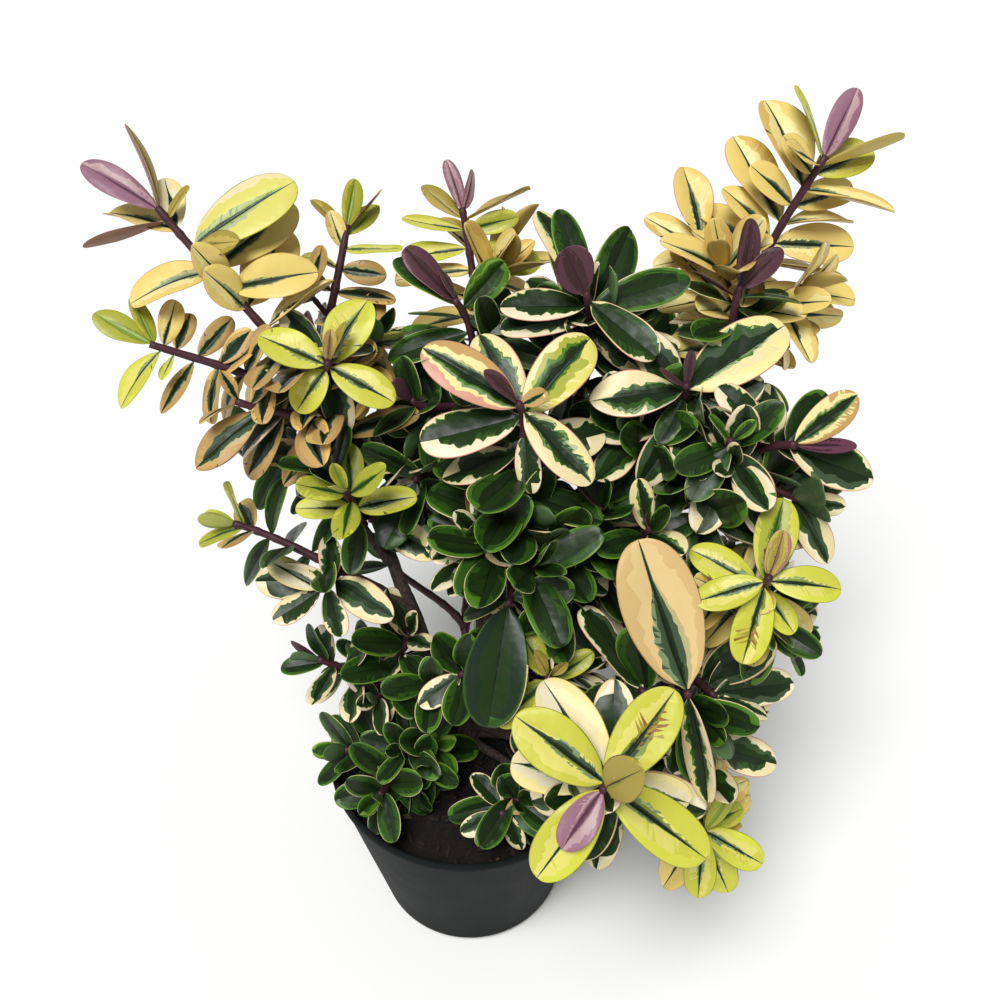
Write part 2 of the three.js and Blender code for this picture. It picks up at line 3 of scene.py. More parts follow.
import bmesh
import bpy
import numpy as np
from mathutils import Euler, Matrix, Vector, noise
from mathutils.bvhtree import BVHTree


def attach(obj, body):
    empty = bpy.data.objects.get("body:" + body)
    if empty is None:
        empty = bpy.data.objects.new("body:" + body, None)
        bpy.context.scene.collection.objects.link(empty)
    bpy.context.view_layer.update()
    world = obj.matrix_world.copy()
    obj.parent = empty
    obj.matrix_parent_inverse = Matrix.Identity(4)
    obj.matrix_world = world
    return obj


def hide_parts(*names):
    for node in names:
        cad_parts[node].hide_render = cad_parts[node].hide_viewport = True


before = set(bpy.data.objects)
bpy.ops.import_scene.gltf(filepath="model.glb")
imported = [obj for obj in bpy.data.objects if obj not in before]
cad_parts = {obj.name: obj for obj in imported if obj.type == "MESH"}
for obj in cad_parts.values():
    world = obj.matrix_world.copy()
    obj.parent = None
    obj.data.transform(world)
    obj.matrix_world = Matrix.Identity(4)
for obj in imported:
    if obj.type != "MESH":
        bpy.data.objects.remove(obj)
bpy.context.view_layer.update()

millimetre = 0.001  # the plan of the plant is in millimetres, and meshes are in metres
print("frame loaded,", len(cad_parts), "nodes")


def addObject(name, data):
    thing = bpy.data.objects.new(name, data)
    bpy.context.scene.collection.objects.link(thing)
    return thing


# camera: looks down on the plant from the front

cameraPlan = {
    "place": (0.015, -0.290, 0.490),
    "pitch": 50.2,  # degrees up from straight down
    "lens": 36.0,
    "sensor": 36.0,
    "picture": 1000,  # its width in dots, which the places of leaf tips below are counted in
}


def makeCamera():
    data = bpy.data.cameras.new("camera")
    data.lens = cameraPlan["lens"]
    data.sensor_width = cameraPlan["sensor"]
    data.clip_start = 0.01
    camera = addObject("camera", data)
    camera.location = cameraPlan["place"]
    camera.rotation_euler = (math.radians(cameraPlan["pitch"]), 0, 0)
    bpy.context.scene.camera = camera


makeCamera()

# materials


def hexToLinear(code):
    parts = [int(code[i:i + 2], 16) / 255 for i in (1, 3, 5)]
    return tuple(c / 12.92 if c <= 0.04045 else ((c + 0.055) / 1.055) ** 2.4 for c in parts)


def addNode(material, kind, settings=(), **links):
    node = material.node_tree.nodes.new(kind)
    for name, value in dict(settings).items():
        if name in node.inputs:
            node.inputs[name].default_value = value
        else:
            setattr(node, name, value)
    for name, source in links.items():
        material.node_tree.links.new(source, node.inputs[name.replace("_", " ")])
    return node


def startMaterial(name, colour, roughness, ior=1.45):
    material = bpy.data.materials.new(name)
    material.use_nodes = True
    shader = material.node_tree.nodes["Principled BSDF"]
    shader.inputs["Base Color"].default_value = (*hexToLinear(colour), 1)
    shader.inputs["Roughness"].default_value = roughness
    shader.inputs["IOR"].default_value = ior
    return material, shader


def addNoise(material, scale, detail, squeeze=(1.0, 1.0, 1.0), **settings):
    # on the piece's own coordinates. scale: waves per metre
    spot = addNode(material, "ShaderNodeTexCoord").outputs["Object"]
    if min(squeeze) < 1:
        spot = addNode(material, "ShaderNodeMapping", {"Scale": squeeze}, Vector=spot).outputs["Vector"]
    settings = {"Scale": scale, "Detail": detail, **settings}
    return addNode(material, "ShaderNodeTexNoise", settings, Vector=spot).outputs["Fac"]


def addTones(material, shader, source, dark, pale, low=0.0, high=1.0):
    # base colour from dark to pale, as the source goes from low to high
    ramp = addNode(material, "ShaderNodeValToRGB", Fac=source)
    for stop, position, colour in zip(ramp.color_ramp.elements, (low, high), (dark, pale)):
        stop.position = position
        stop.color = (*hexToLinear(colour), 1)
    material.node_tree.links.new(ramp.outputs["Color"], shader.inputs["Base Color"])


def addGloss(material, shader, source, smooth, dull):
    gloss = addNode(material, "ShaderNodeMapRange", {"To Min": smooth, "To Max": dull}, Value=source)
    material.node_tree.links.new(gloss.outputs["Result"], shader.inputs["Roughness"])


def addBump(material, shader, source, strength, depth, **under):
    settings = {"Strength": strength, "Distance": depth}
    bump = addNode(material, "ShaderNodeBump", settings, Height=source, **under)
    material.node_tree.links.new(bump.outputs["Normal"], shader.inputs["Normal"])
    return bump.outputs["Normal"]


# A hebe leaf has a waxy skin: it shines softly and a little unevenly over shallow puckers, which
# are what keeps its highlight from looking like glass.
leafSkin = {
    "mottle": 900.0,  # waves per metre of the uneven shine: about a millimetre each
    "gloss": (0.27, 0.42),  # roughness, smooth to dull
    "shine": 0.33,
    "pucker": 170.0,  # waves per metre of the puckers: about 6 mm each
    "strength": 0.5,
    "puckerDepth": 0.0008,
    "grainDepth": 0.00005,
}
leafShades = {
    "limeBright": "#ced04a", "lime": "#c6c548", "limePale": "#d9d26c", "limeDeep": "#a7aa3e",
    "limeGreen": "#7f8b31", "scar": "#8c6226",
    "butterPale": "#efe09a", "butter": "#e6cd77", "butterWarm": "#d9b763", "sand": "#b5935a",
    "apricotPale": "#dbbf85", "apricot": "#d0b076", "peach": "#c49f63", "tan": "#bba656",
    "cream": "#e7d8a6", "ivory": "#eadfbf",
    "blush": "#d49a83", "rose": "#a8737a",
    "washLime": "#a9b76c", "washButter": "#b4ab76", "washCream": "#b3bd90", "feather": "#7c9068",
    "greyGreen": "#3f5138", "deepGreen": "#182a11", "nightGreen": "#0d1809",
    # blueGreen is for the dark kind only: a painted shade colour
    "darkGreen": "#1f3412", "blueGreen": "#1b2e1d",
    "leafGreen": "#2d4e17", "freshGreen": "#4c7620", "springGreen": "#84a044",
    "mauve": "#936a7b", "mauvePale": "#b39297", "plum": "#64384b", "wine": "#381a28",
    "budBrown": "#41292a", "budPlum": "#573840",
    "olive": "#a0903e", "umber": "#4d3a22", "edgeBrown": "#84604f",
    "underLime": "#a6ab58", "underButter": "#bda45f", "underGreen": "#557048",
}
leafMaterials = {}


def leafMaterial(shade):
    if shade not in leafMaterials:
        material, shader = startMaterial("waxyLeaf_" + shade, leafShades[shade], 0.4)
        shader.inputs["Specular IOR Level"].default_value = leafSkin["shine"]
        mottle = addNoise(material, leafSkin["mottle"], 2.0)
        puckers = addNoise(material, leafSkin["pucker"], 1.0)
        addGloss(material, shader, mottle, *leafSkin["gloss"])
        grain = addBump(material, shader, mottle, leafSkin["strength"], leafSkin["grainDepth"])
        addBump(material, shader, puckers, leafSkin["strength"], leafSkin["puckerDepth"], Normal=grain)
        leafMaterials[shade] = material
    return leafMaterials[shade]


# small helpers: the same rule that the solids are grown by


def seeded(seed):
    state = [(seed * 7919 + 17) % 2147483647]

    def draw():
        state[0] = state[0] * 48271 % 2147483647
        return state[0] / 2147483647

    draw()
    draw()
    return draw


def spread(draw, reach):
    return (draw() * 2 - 1) * reach


def unit(vector):
    vector = np.asarray(vector, float)
    return vector / np.linalg.norm(vector)


def direction(heading, rise):
    h, r = math.radians(heading), math.radians(rise)
    return np.array([math.cos(r) * math.cos(h), math.cos(r) * math.sin(h), math.sin(r)])


def squareTo(axis, vector):
    return unit(vector - np.dot(vector, axis) * axis)


def between(first, second, angle):
    return first * math.cos(angle) + second * math.sin(angle)


def turned(vector, axis, angle):
    return (vector * math.cos(angle) + np.cross(axis, vector) * math.sin(angle)
            + axis * np.dot(axis, vector) * (1 - math.cos(angle)))


upward = np.array([0.0, 0.0, 1.0])
light = np.array([0.0, -0.5, 0.87])  # where the blades turn to
nearlyAlong = 0.15  # sine of the angle under which two lines count as one direction


def levelOf(one, other):
    level = np.cross(one, other)
    upright = np.linalg.norm(level) < nearlyAlong * np.linalg.norm(one) * np.linalg.norm(other)
    return np.array([1.0, 0.0, 0.0]) if upright else level


routeSteps = 200


class Route:  # a bent line from foot to tip, measured by its own length
    def __init__(self, foot, out, tip, grow, start, end):
        foot, tip = np.asarray(foot, float), np.asarray(tip, float)
        span = np.linalg.norm(tip - foot)
        self.knots = [foot, foot + out * span * start, tip - grow * span * end, tip]
        steps = np.linspace(0, 1, routeSteps + 1)
        points = np.array([self.place(s) for s in steps])
        runs = np.concatenate([[0], np.cumsum(np.linalg.norm(np.diff(points, axis=0), axis=1))])
        self.steps, self.runs, self.length = steps, runs, runs[-1]

    def place(self, s):
        a, b, c, d = self.knots
        r = 1 - s
        return a * r ** 3 + 3 * b * r * r * s + 3 * c * r * s * s + d * s ** 3

    def slope(self, s):
        a, b, c, d = self.knots
        r = 1 - s
        return unit((b - a) * r * r + 2 * (c - b) * r * s + (d - c) * s * s)

    def step(self, share):
        return float(np.interp(share * self.length, self.runs, self.steps))

    def pointAt(self, share):
        return self.place(self.step(share))

    def slopeAt(self, share):
        return self.slope(self.step(share))


# the plant's plan, in millimetres and degrees

gap = 0.3
pot = {"height": 100, "rim": 65, "lip": 2.4, "base": 47, "baseRound": 5, "wall": 1.6, "floor": 3}
soil = {"edge": 88, "crown": 92}
trunk = {"fork": (3, 6, 124), "lean": (63, 75), "foot": 6.0, "top": 4.6, "flare": 3.0, "flareShare": 0.3}
boughForm = {"radius": 2.3, "taper": 0.68, "start": 0.35, "end": 0.3, "collar": 0.35, "collarReach": 5}
twigForm = {"foot": 2.1, "tip": 1.5, "start": 0.3, "end": 0.35}

# name: parent, share of its length, tip, heading and rise at the foot, the same at the tip, radius
boughs = {
    "left": ("trunk", 0.75, (-50, 54, 234), (160, 50), (140, 60), 3.6),
    "centre": ("trunk", 0.98, (50, 76, 244), (70, 80), (60, 60), 3.8),
    "right": ("trunk", 0.85, (108, 90, 254), (30, 35), (40, 60), 3.8),
    "front": ("trunk", 0.6, (55, -32, 122), (-40, 30), (-60, 40), 3.0),
    "left_inner": ("left", 0.8, (-62, 78, 246), (120, 55), (100, 60)),
    "left_mid": ("left", 0.6, (-44, 34, 206), (-110, 40), (-115, 65)),
    "left_low": ("left", 0.45, (-50, 28, 182), (-170, 40), (-175, 35)),
    "left_foot": ("trunk", 0.55, (-30, 12, 121), (170, 25), (180, 35)),
    "left_rim": ("trunk", 0.2, (-20, -5, 104), (-160, 10), (-150, 30)),
    "centre_left": ("centre", 0.6, (6, 74, 222), (165, 45), (150, 60)),
    "centre_front": ("centre", 0.4, (18, 20, 196), (-110, 50), (-110, 65)),
    "centre_low": ("centre", 0.25, (48, 28, 164), (-20, 50), (-60, 60)),
    "back_centre": ("centre", 0.7, (8, 110, 246), (120, 55), (110, 60)),
    "centre_right": ("centre", 0.62, (82, 62, 226), (-20, 50), (-40, 65)),
    "right_inner": ("right", 0.8, (112, 68, 250), (-50, 65), (-20, 70)),
    "right_mid": ("right", 0.6, (108, 48, 220), (-60, 45), (-50, 50)),
    "right_front": ("right", 0.3, (106, 12, 172), (-50, 35), (-30, 60)),
    "front_big": ("trunk", 0.72, (86, 0, 150), (-15, 40), (-40, 50), 3.0),
    "front_mid": ("trunk", 0.9, (34, -8, 146), (-50, 60), (-90, 60)),
    "front_low": ("trunk", 0.3, (20, -22, 107), (-60, 15), (-110, 20)),
    "right_low": ("trunk", 0.4, (72, -18, 108), (-10, 15), (-30, 20)),
    "right_side": ("trunk", 0.65, (72, 38, 142), (25, 30), (20, 35)),
    "back_left": ("left", 0.3, (-48, 78, 182), (110, 50), (110, 55)),
    "back_mid": ("centre", 0.2, (14, 84, 168), (110, 45), (90, 50)),
    "back_right": ("right", 0.35, (84, 104, 190), (80, 40), (70, 50)),
    "back_low": ("trunk", 0.5, (-2, 44, 118), (95, 20), (95, 30)),
}


def shoot(tip, grow, roll, leaf, gap, at=None, young="green green", rows="green", **more):
    return {"tip": tip, "grow": grow, "roll": roll, "leaf": leaf, "gap": gap, "at": at,
            "young": young.split(), "rows": rows.split(), **more}


def seen(across, down, deeper, twist, kind, slim=None):
    # a leaf whose tip shows there in the camera's picture, that many millimetres behind its foot
    return {"spot": (across, down, deeper), "twist": twist, "kind": kind, "slim": slim}


def held(heading, rise, length, twist, kind, slim=None):
    # a leaf set by where it points
    return {"way": (heading, rise), "length": length, "twist": twist, "kind": kind, "slim": slim}


# Each mass grows on from the bough of its name. Its first shoot leads, and the others leave that
# one at a share of its length. young: the two leaves at the tip. rows: kinds of leaf below them.
# aims: leaves that were set one by one, from the tip down, each with its degrees of twist from
# facing the light, its kind and, where it isn't its kind's, its width over its length. The last
# number is how many sprigs a shoot has.
masses = {
    "front": ("lime", [
        shoot((51, -86, 188), (-110, 40), 0, 39, 9, young="mauve olive",
              rows="lime lime cream cream edged", aims=(
            seen(563, 848, -4, 0, "mauve", 0.5), held(-40, 60, 26, 0, "olive", 0.66),
            seen(537, 878, -2, 0, "lime"), seen(674, 692, -3, 0, "scarredLime"),
            seen(519, 717, -2, 0, "lime"), seen(709, 859, -2, 0, "lime"), seen(546, 681, 6, 0, "cream"),
            seen(694, 806, 9, 15, "cream"), seen(510, 758, 10, 10, "cream"),
            held(45, 10, 32, 20, "creamEdged"))),
    ], 2),
    "front_big": ("butter", [
        shoot((85, -50, 195), (-105, 25), 115, 60, 9, open=82, pairs=1, young="peach edged", aims=(
            seen(640, 541, 0, 0, "peach"), seen(704, 802, 2, 68, "creamEdged"))),
        shoot((102, -30, 170), (-60, 10), 45, 38, 10, 0.3, young="edged edged", rows="edged edged", aims=(
            held(-15, -15, 24, -45, "edged"), seen(794, 684, 4, 25, "edged"),
            held(30, 20, 32, 25, "edged"), seen(735, 735, 3, 40, "green"))),
        shoot((70, -37, 182), (-150, 40), 20, 36, 9, 0.2, young="edged edged", pairs=2, aims=(
            seen(585, 607, 8, 35, "edged"), held(-165, 5, 24, 20, "green"))),
    ], 1),
    "centre_front": ("edged", [
        shoot((22, 24, 276), (-120, 55), 10, 40, 9, young="bud edged",
              rows="creamEdged edged edged edged green", aims=(
            seen(486, 371, -6, 20, "bud"), seen(545, 392, -8, 30, "blushEdged"),
            seen(425, 346, -2, 0, "blushEdged", 0.45), seen(592, 481, -3, 0, "creamEdged"),
            seen(589, 337, -1, 5, "yellowEdged"), seen(421, 437, -4, 5, "edged"),
            seen(481, 332, 4, 0, "creamEdged"), seen(530, 492, -2, 20, "edged"),
            seen(441, 470, 0, 20, "edged"), seen(606, 432, 3, 20, "edged"))),
        shoot((5, 23, 214), (-155, 70), 20, 30, 8, 0.08, young="olive green",
              rows="green green edged", aims=(
            seen(462, 478, -4, 50, "olive"), seen(484, 488, -3, 20, "fineGreen"),
            held(-130, -5, 17, 15, "fineGreen"), held(-5, 0, 30, 10, "fineGreen"),
            held(165, 15, 27, 0, "green"), held(140, 30, 29, 30, "creamEdged"))),
        shoot((37, 8, 215), (-115, 15), 20, 32, 9, 0.05, young="fineGreen green",
              rows="green edged green", aims=(
            seen(532, 612, -10, 0, "fineGreen", 0.62), seen(600, 520, 4, 10, "green"))),
        shoot((18, -14, 206), (-105, 0), 0, 40, 9, 0.02, pairs=2, aims=(
            seen(487, 727, -3, 0, "dark", 0.5), held(150, 10, 26, 20, "dark"),
            held(-10, -10, 26, 20, "green"), held(170, -35, 24, 30, "green"))),
    ], 2),
    "centre": ("edged", [
        shoot((49, 66, 300), (-125, 65), 175, 36, 8, young="bud green",
              rows="edged edged edged green", aims=(
            seen(566, 250, -10, -5, "bud", 0.8), held(110, 40, 38, 15, "green", 0.4),
            seen(541, 208, 6, 20, "halfEdged", 0.38), seen(657, 354, -4, 0, "edged"),
            seen(690, 276, -2, 15, "green", 0.36), seen(502, 302, -2, 10, "edged"),
            seen(636, 226, 8, 25, "green", 0.36), seen(502, 322, -4, 15, "edged"),
            held(110, 40, 44, 10, "green", 0.42), held(-35, -25, 26, 30, "edged"))),
        shoot((64, 84, 280), (30, 55), 20, 34, 8, 0.2, rows="green edged"),
    ], 2),
    "centre_right": ("edged", [
        shoot((88, 40, 274), (-115, 60), 35, 38, 9, young="bud green",
              rows="green creamEdged edged edged", aims=(
            held(75, 70, 14, 30, "bud"), held(-175, 40, 14, 30, "bud"), held(25, 25, 48, 0, "halfEdged"),
            seen(592, 398, -3, 5, "creamEdged"), seen(716, 352, 6, 20, "green"),
            held(-125, -25, 22, 10, "green"))),
        shoot((70, 44, 250), (-150, 45), 20, 34, 9, 0.15, young="green edged", rows="edged green"),
    ], 2),
    "centre_left": ("green", [
        shoot((-4, 79, 290), (180, 50), 80, 34, 9, young="bud bud", rows="green green edged green", aims=(
            seen(407, 247, -2, 15, "bud"), seen(440, 268, -4, 50, "bud"), held(145, 25, 36, 25, "green"),
            seen(505, 262, 4, 30, "fineGreen"), seen(410, 308, -5, 60, "green"),
            held(-20, 0, 20, 20, "green"), seen(388, 352, -3, 10, "green"),
            seen(512, 290, 8, 20, "green"))),
        shoot((-23, 64, 251), (180, 60), 45, 26, 8, 0.2, young="mauve bud", rows="green green"),
        shoot((-22, 48, 220), (-135, 30), 45, 32, 9, 0.05, rows="green edged", aims=(
            held(-135, -35, 33, 0, "dark"), held(-30, -20, 26, 20, "green"))),
        shoot((-42, 40, 204), (-150, 30), 45, 32, 9, 0.05, young="edged green", pairs=2, aims=(
            held(-25, -15, 33, 10, "creamEdged"), held(165, 10, 26, 20, "green"))),
    ], 2),
    "centre_low": ("green", [
        shoot((56, 22, 226), (-105, 70), 20, 32, 9, young="bud green", rows="green edged green"),
        shoot((34, -4, 194), (-115, 30), 60, 34, 9, 0.1, rows="green green edged"),
        shoot((75, 10, 225), (-90, 60), 30, 28, 8, 0.2, young="bud green", rows="creamEdged green"),
    ], 2),
    "right_mid": ("edged", [
        shoot((129, 19, 260), (-40, 20), 45, 34, 9, young="mauve wine",
              rows="creamEdged edged edged", aims=(
            seen(856, 443, 0, -25, "wine"), seen(858, 396, 2, 25, "blushEdged"),
            seen(827, 393, 2, 15, "green"), seen(875, 477, 0, 5, "edged"), seen(722, 386, -2, 0, "edged"),
            seen(836, 480, 4, -35, "edged"), seen(727, 499, -4, 5, "green"),
            seen(776, 384, 8, 20, "edged"))),
        shoot((104, 21, 261), (-105, 55), 45, 28, 8, 0.15, young="fineGreen fineGreen",
              rows="green green edged", aims=(
            held(165, 50, 14, 30, "fineGreen"), held(10, 45, 12, 30, "fineGreen"),
            seen(678, 487, -2, 5, "green"), seen(762, 410, 4, 20, "green"))),
        shoot((136, 20, 232), (-60, 20), 0, 34, 9, 0.1, young="edged edged", rows="edged green"),
        shoot((98, 16, 226), (-60, 20), 0, 38, 9, 0.05, young="edged green", pairs=2, aims=(
            seen(820, 530, 0, 12, "edged"), held(-165, -5, 24, 10, "green"))),
    ], 2),
    "right_front": ("lime", [
        shoot((115, -23, 230), (-100, 60), 165, 31, 9, young="budOlive lime",
              rows="lime lime limeGreen butter", aims=(
            held(60, 65, 19, 10, "budOlive", 0.55), seen(772, 550, -2, 60, "bud"),
            seen(841, 588, -2, 0, "lime"), seen(697, 600, -2, 0, "lime"),
            seen(785, 499, 2, 0, "limeGreen"), seen(744, 663, -2, 0, "scarredLime"),
            seen(694, 547, 4, 5, "lime"), seen(795, 632, -3, 10, "lime"), seen(812, 640, 6, 20, "butter"),
            seen(700, 642, 6, 20, "butter"))),
        shoot((128, 0, 196), (-20, 20), 20, 30, 9, 0.2, young="edged edged", rows="edged green"),
    ], 2),
    "right": ("butter", [
        shoot((147, 110, 338), (25, 55), 115, 37, 8, young="mauve lime", rows="butter", aims=(
            seen(858, 88, 0, 10, "mauve"), seen(799, 85, 0, 50, "lime", 0.4),
            seen(901, 132, 0, -74, "olive"), held(-150, 35, 22, 15, "butter", 0.6),
            seen(873, 143, 8, 5, "lime"), held(170, 50, 20, 0, "butter", 0.6),
            seen(772, 95, 2, 12, "butter"), seen(897, 200, -3, -30, "butter", 0.42),
            held(170, 45, 24, 0, "butter", 0.6), seen(858, 180, 8, 10, "butter"),
            seen(741, 130, 2, 8, "butter"), seen(852, 212, -2, -40, "butter"),
            held(150, 45, 30, 10, "butter", 0.5), seen(855, 243, -5, 18, "butter"),
            seen(705, 200, 8, 15, "butter"), seen(842, 264, 2, -50, "butter"),
            held(-110, 10, 26, 20, "butter", 0.56), seen(700, 225, -4, 20, "butter"),
            seen(838, 297, 0, -30, "butter"), held(-130, 0, 28, 20, "butter"))),
        shoot((101, 113, 302), (125, 60), 0, 36, 10, 0.15, young="butter butter", rows="butter", aims=(
            seen(684, 167, 0, 5, "butter"), seen(674, 237, -8, 40, "butter"),
            seen(647, 215, 2, 5, "butter"), seen(742, 205, 6, 30, "butter"),
            seen(655, 262, -3, 20, "butter"), seen(735, 235, 6, 30, "butter"))),
        shoot((142, 90, 290), (-10, 40), 30, 32, 10, 0.25, young="butter butter", rows="butter"),
    ], 1),
    "right_inner": ("green", [
        shoot((112, 74, 299), (20, 70), 32, 28, 9, young="bud bud", rows="green green green", aims=(
            seen(765, 223, -4, 25, "bud"), held(5, 50, 22, 10, "bud"), seen(695, 268, -3, 60, "bud"),
            seen(801, 299, -2, -50, "green"), held(155, 20, 24, 40, "green"),
            held(-25, -15, 20, -40, "green"))),
    ], 0),
    "left": ("butter", [
        shoot((-122, 92, 324), (150, 45), 130, 38, 11, young="mauve budOlive",
              rows="butter butter butter butter brown", aims=(
            seen(82, 162, 0, 0, "mauve"), seen(129, 124, 0, 78, "budOlive", 0.3),
            seen(83, 241, 0, 68, "budOlive"), seen(186, 186, -4, -20, "olive"),
            seen(108, 205, 12, 25, "butter"), held(110, 35, 26, 10, "cream"),
            seen(288, 174, 0, 0, "paleLime"), held(-20, 20, 22, 0, "olive", 0.55),
            held(45, 25, 46, 10, "butter"), held(-155, -5, 34, 10, "butter", 0.56),
            held(0, 15, 36, 15, "butter"), held(-130, 65, 24, 0, "butter", 0.6),
            held(70, 30, 44, 20, "butter"), held(-140, 60, 24, 0, "butter", 0.6),
            seen(323, 272, -8, -45, "butter"), held(-140, -20, 28, 20, "brown"),
            held(-5, 0, 28, 20, "brown"), held(-105, 10, 30, 20, "brown"))),
        shoot((-125, 57, 282), (-175, 25), 0, 27, 10, 0.1, young="fresh fresh",
              rows="lime brown brown", aims=(
            seen(95, 312, 0, 15, "fresh"), seen(134, 297, 4, 45, "fresh"), seen(118, 405, -3, 25, "lime"),
            seen(176, 300, 6, 30, "butter"), seen(160, 377, -6, 30, "lime"),
            seen(190, 312, 8, 20, "brown"), seen(156, 408, -4, 30, "brown"),
            seen(232, 318, 4, 30, "brown"), seen(205, 420, -3, 30, "brown"),
            seen(247, 330, -4, 10, "brown"))),
        shoot((-92, 46, 262), (180, 25), 10, 34, 11, 0.04, young="brown brown", rows="brown brown", aims=(
            seen(200, 420, 0, 50, "brown"), seen(222, 372, -4, 30, "brown"),
            seen(190, 400, 6, 20, "brown"), seen(268, 372, -5, 10, "brown"),
            seen(193, 464, -4, 8, "brown"), seen(300, 370, 2, 20, "edged"),
            seen(238, 452, 3, 30, "edged"))),
        shoot((-62, 57, 227), (180, 20), 10, 34, 11, 0.02, young="edged edged", pairs=2,
              rows="edged", aims=(
            held(180, 5, 38, 30, "edged"), held(-20, -15, 36, 10, "edged"))),
    ], 0),
    "left_inner": ("lime", [
        shoot((-50, 111, 308), (75, 55), 20, 26, 10, young="fresh olive",
              rows="lime butter butter brown", aims=(
            seen(356, 180, 0, 40, "fresh"), seen(379, 189, 2, -60, "budOlive"),
            seen(383, 203, 2, 5, "fresh"), seen(314, 198, 2, 35, "olive"),
            seen(400, 243, -4, -35, "lime"), seen(331, 212, -6, 10, "butter"),
            held(-15, 0, 20, 35, "brown"), held(175, 25, 16, 30, "lime"))),
        shoot((-53, 48, 279), (-75, 55), 130, 28, 8, 0.08, young="olive bud",
              rows="lime lime butter edged", aims=(
            seen(331, 331, -6, 20, "budOlive"), seen(344, 322, -4, -50, "olive"),
            seen(260, 334, -3, 0, "lime"), seen(393, 400, -3, 0, "lime"),
            seen(365, 299, 2, 0, "lime", 0.55), seen(296, 409, -2, 0, "lime", 0.75),
            seen(268, 429, 2, 10, "lime"), held(130, 20, 30, 20, "butter"))),
        shoot((-38, 82, 270), (0, 50), 40, 28, 9, 0.15, young="fresh edged", rows="edged brown"),
    ], 1),
    "left_mid": ("lime", [
        shoot((-48, 24, 234), (-125, 65), 125, 26, 8, young="fresh fresh",
              rows="limeGreen limeGreen lime green"),
    ], 1),
    "left_low": ("lime", [
        shoot((-100, 34, 207), (180, 20), 20, 25, 9, young="fresh fresh", rows="limeGreen brown green"),
        shoot((-62, 12, 189), (-150, 35), 0, 34, 10, 0.08, young="edged butter",
              rows="brown edged", aims=(
            seen(270, 560, 0, 20, "cream"), held(-155, -20, 24, 10, "edged"),
            held(90, 35, 22, 30, "edged"), seen(340, 636, 0, 20, "edged"))),
    ], 0),
    "left_foot": ("edged", [
        shoot((-67, 10, 147), (-175, 35), 0, 24, 8, young="bud green", rows="green edged edged"),
        shoot((-26, 14, 160), (-90, 70), 30, 27, 9, 0.1, young="green edged", rows="edged green"),
        shoot((-2, -11, 161), (-140, 30), 30, 27, 9, 0.1, pairs=3, aims=(
            held(-150, -20, 22, 0, "edged"), held(60, 40, 20, 20, "green"))),
    ], 1),
    "left_rim": ("green", [
        shoot((-56, -13, 111), (-150, 30), 30, 25, 8, young="fineGreen green"),
        shoot((-14, -15, 118), (-90, 65), 0, 25, 7, 0.1, young="springGreen springGreen",
              rows="fineGreen green"),
        shoot((-38, -36, 110), (-110, 35), 45, 25, 8, 0.15, young="fineGreen green"),
    ], 2),
    "front_mid": ("lime", [
        shoot((34, -31, 183), (-115, 55), 20, 27, 8, young="olive olive",
              rows="limeGreen limeGreen edged", aims=(
            seen(536, 652, -5, 30, "olive"), seen(566, 664, -6, 45, "olive"),
            seen(533, 627, 2, 5, "limeGreen"), seen(498, 724, -2, 5, "limeGreen"),
            seen(592, 653, -2, 5, "limeGreen"), held(-30, -30, 22, 15, "limeGreen"))),
    ], 3),
    "right_low": ("lime", [
        shoot((97, -67, 130), (-100, 45), 0, 32, 9, young="fresh lime",
              rows="limeGreen lime butter", aims=(
            seen(738, 781, 0, 35, "fresh"), seen(698, 897, -3, 15, "lime"), seen(763, 864, -1, 5, "lime"),
            seen(662, 886, 2, 25, "butter"), seen(728, 896, 4, 25, "lime"),
            seen(745, 810, 6, 20, "limeGreen"))),
        shoot((100, -36, 150), (15, 55), 20, 34, 10, 0.1, young="edged edged", rows="edged", aims=(
            seen(776, 764, -2, 5, "edged"), seen(672, 786, 2, 60, "cream"),
            seen(742, 690, 5, 30, "edged"), seen(700, 800, 5, 30, "edged"))),
    ], 2),
    "front_low": ("edged", [
        shoot((15, -46, 110), (-130, 20), 0, 28, 8, young="brown edged", rows="edged green", aims=(
            seen(462, 832, -3, 0, "edged"), seen(548, 793, 0, 20, "brown"),
            seen(520, 850, 0, 30, "edged"), held(140, 25, 20, 20, "edged"))),
    ], 3),
    "back_centre": ("butter", [
        shoot((-2, 140, 303), (110, 60), 0, 36, 10, young="mauve olive", rows="butter", aims=(
            seen(447, 160, 0, 10, "mauve"), seen(470, 172, 4, 60, "mauve"),
            seen(424, 184, 0, 15, "olive"), seen(527, 184, 0, -55, "olive"),
            seen(404, 213, -3, 30, "lime"), seen(517, 216, -3, 20, "limeGreen"),
            seen(402, 250, -4, 10, "lime"), seen(540, 262, 2, 20, "lime"))),
        shoot((16, 146, 280), (60, 50), 20, 34, 10, 0.2, young="butter butter", rows="butter"),
    ], 1),
    "right_side": ("green", [
        shoot((116, 44, 172), (20, 50), 20, 32, 10, young="green bud", rows="green edged"),
    ], 3),
    "back_left": ("green", [
        shoot((-76, 130, 232), (120, 55), 20, 36, 10, young="bud green", rows="green edged"),
        shoot((-100, 92, 214), (170, 40), 50, 32, 10, 0.15, rows="edged green"),
        shoot((-30, 120, 216), (70, 55), 10, 34, 10, 0.2, rows="edged green"),
    ], 2),
    "back_mid": ("green", [
        shoot((20, 156, 214), (90, 50), 20, 36, 10, young="bud green", rows="edged green"),
        shoot((-18, 132, 190), (140, 40), 50, 34, 10, 0.15, rows="green edged"),
        shoot((56, 138, 196), (50, 45), 10, 34, 10, 0.2, young="bud green", rows="green edged"),
    ], 2),
    "back_right": ("green", [
        shoot((110, 150, 236), (60, 55), 20, 36, 10, young="bud green", rows="edged green"),
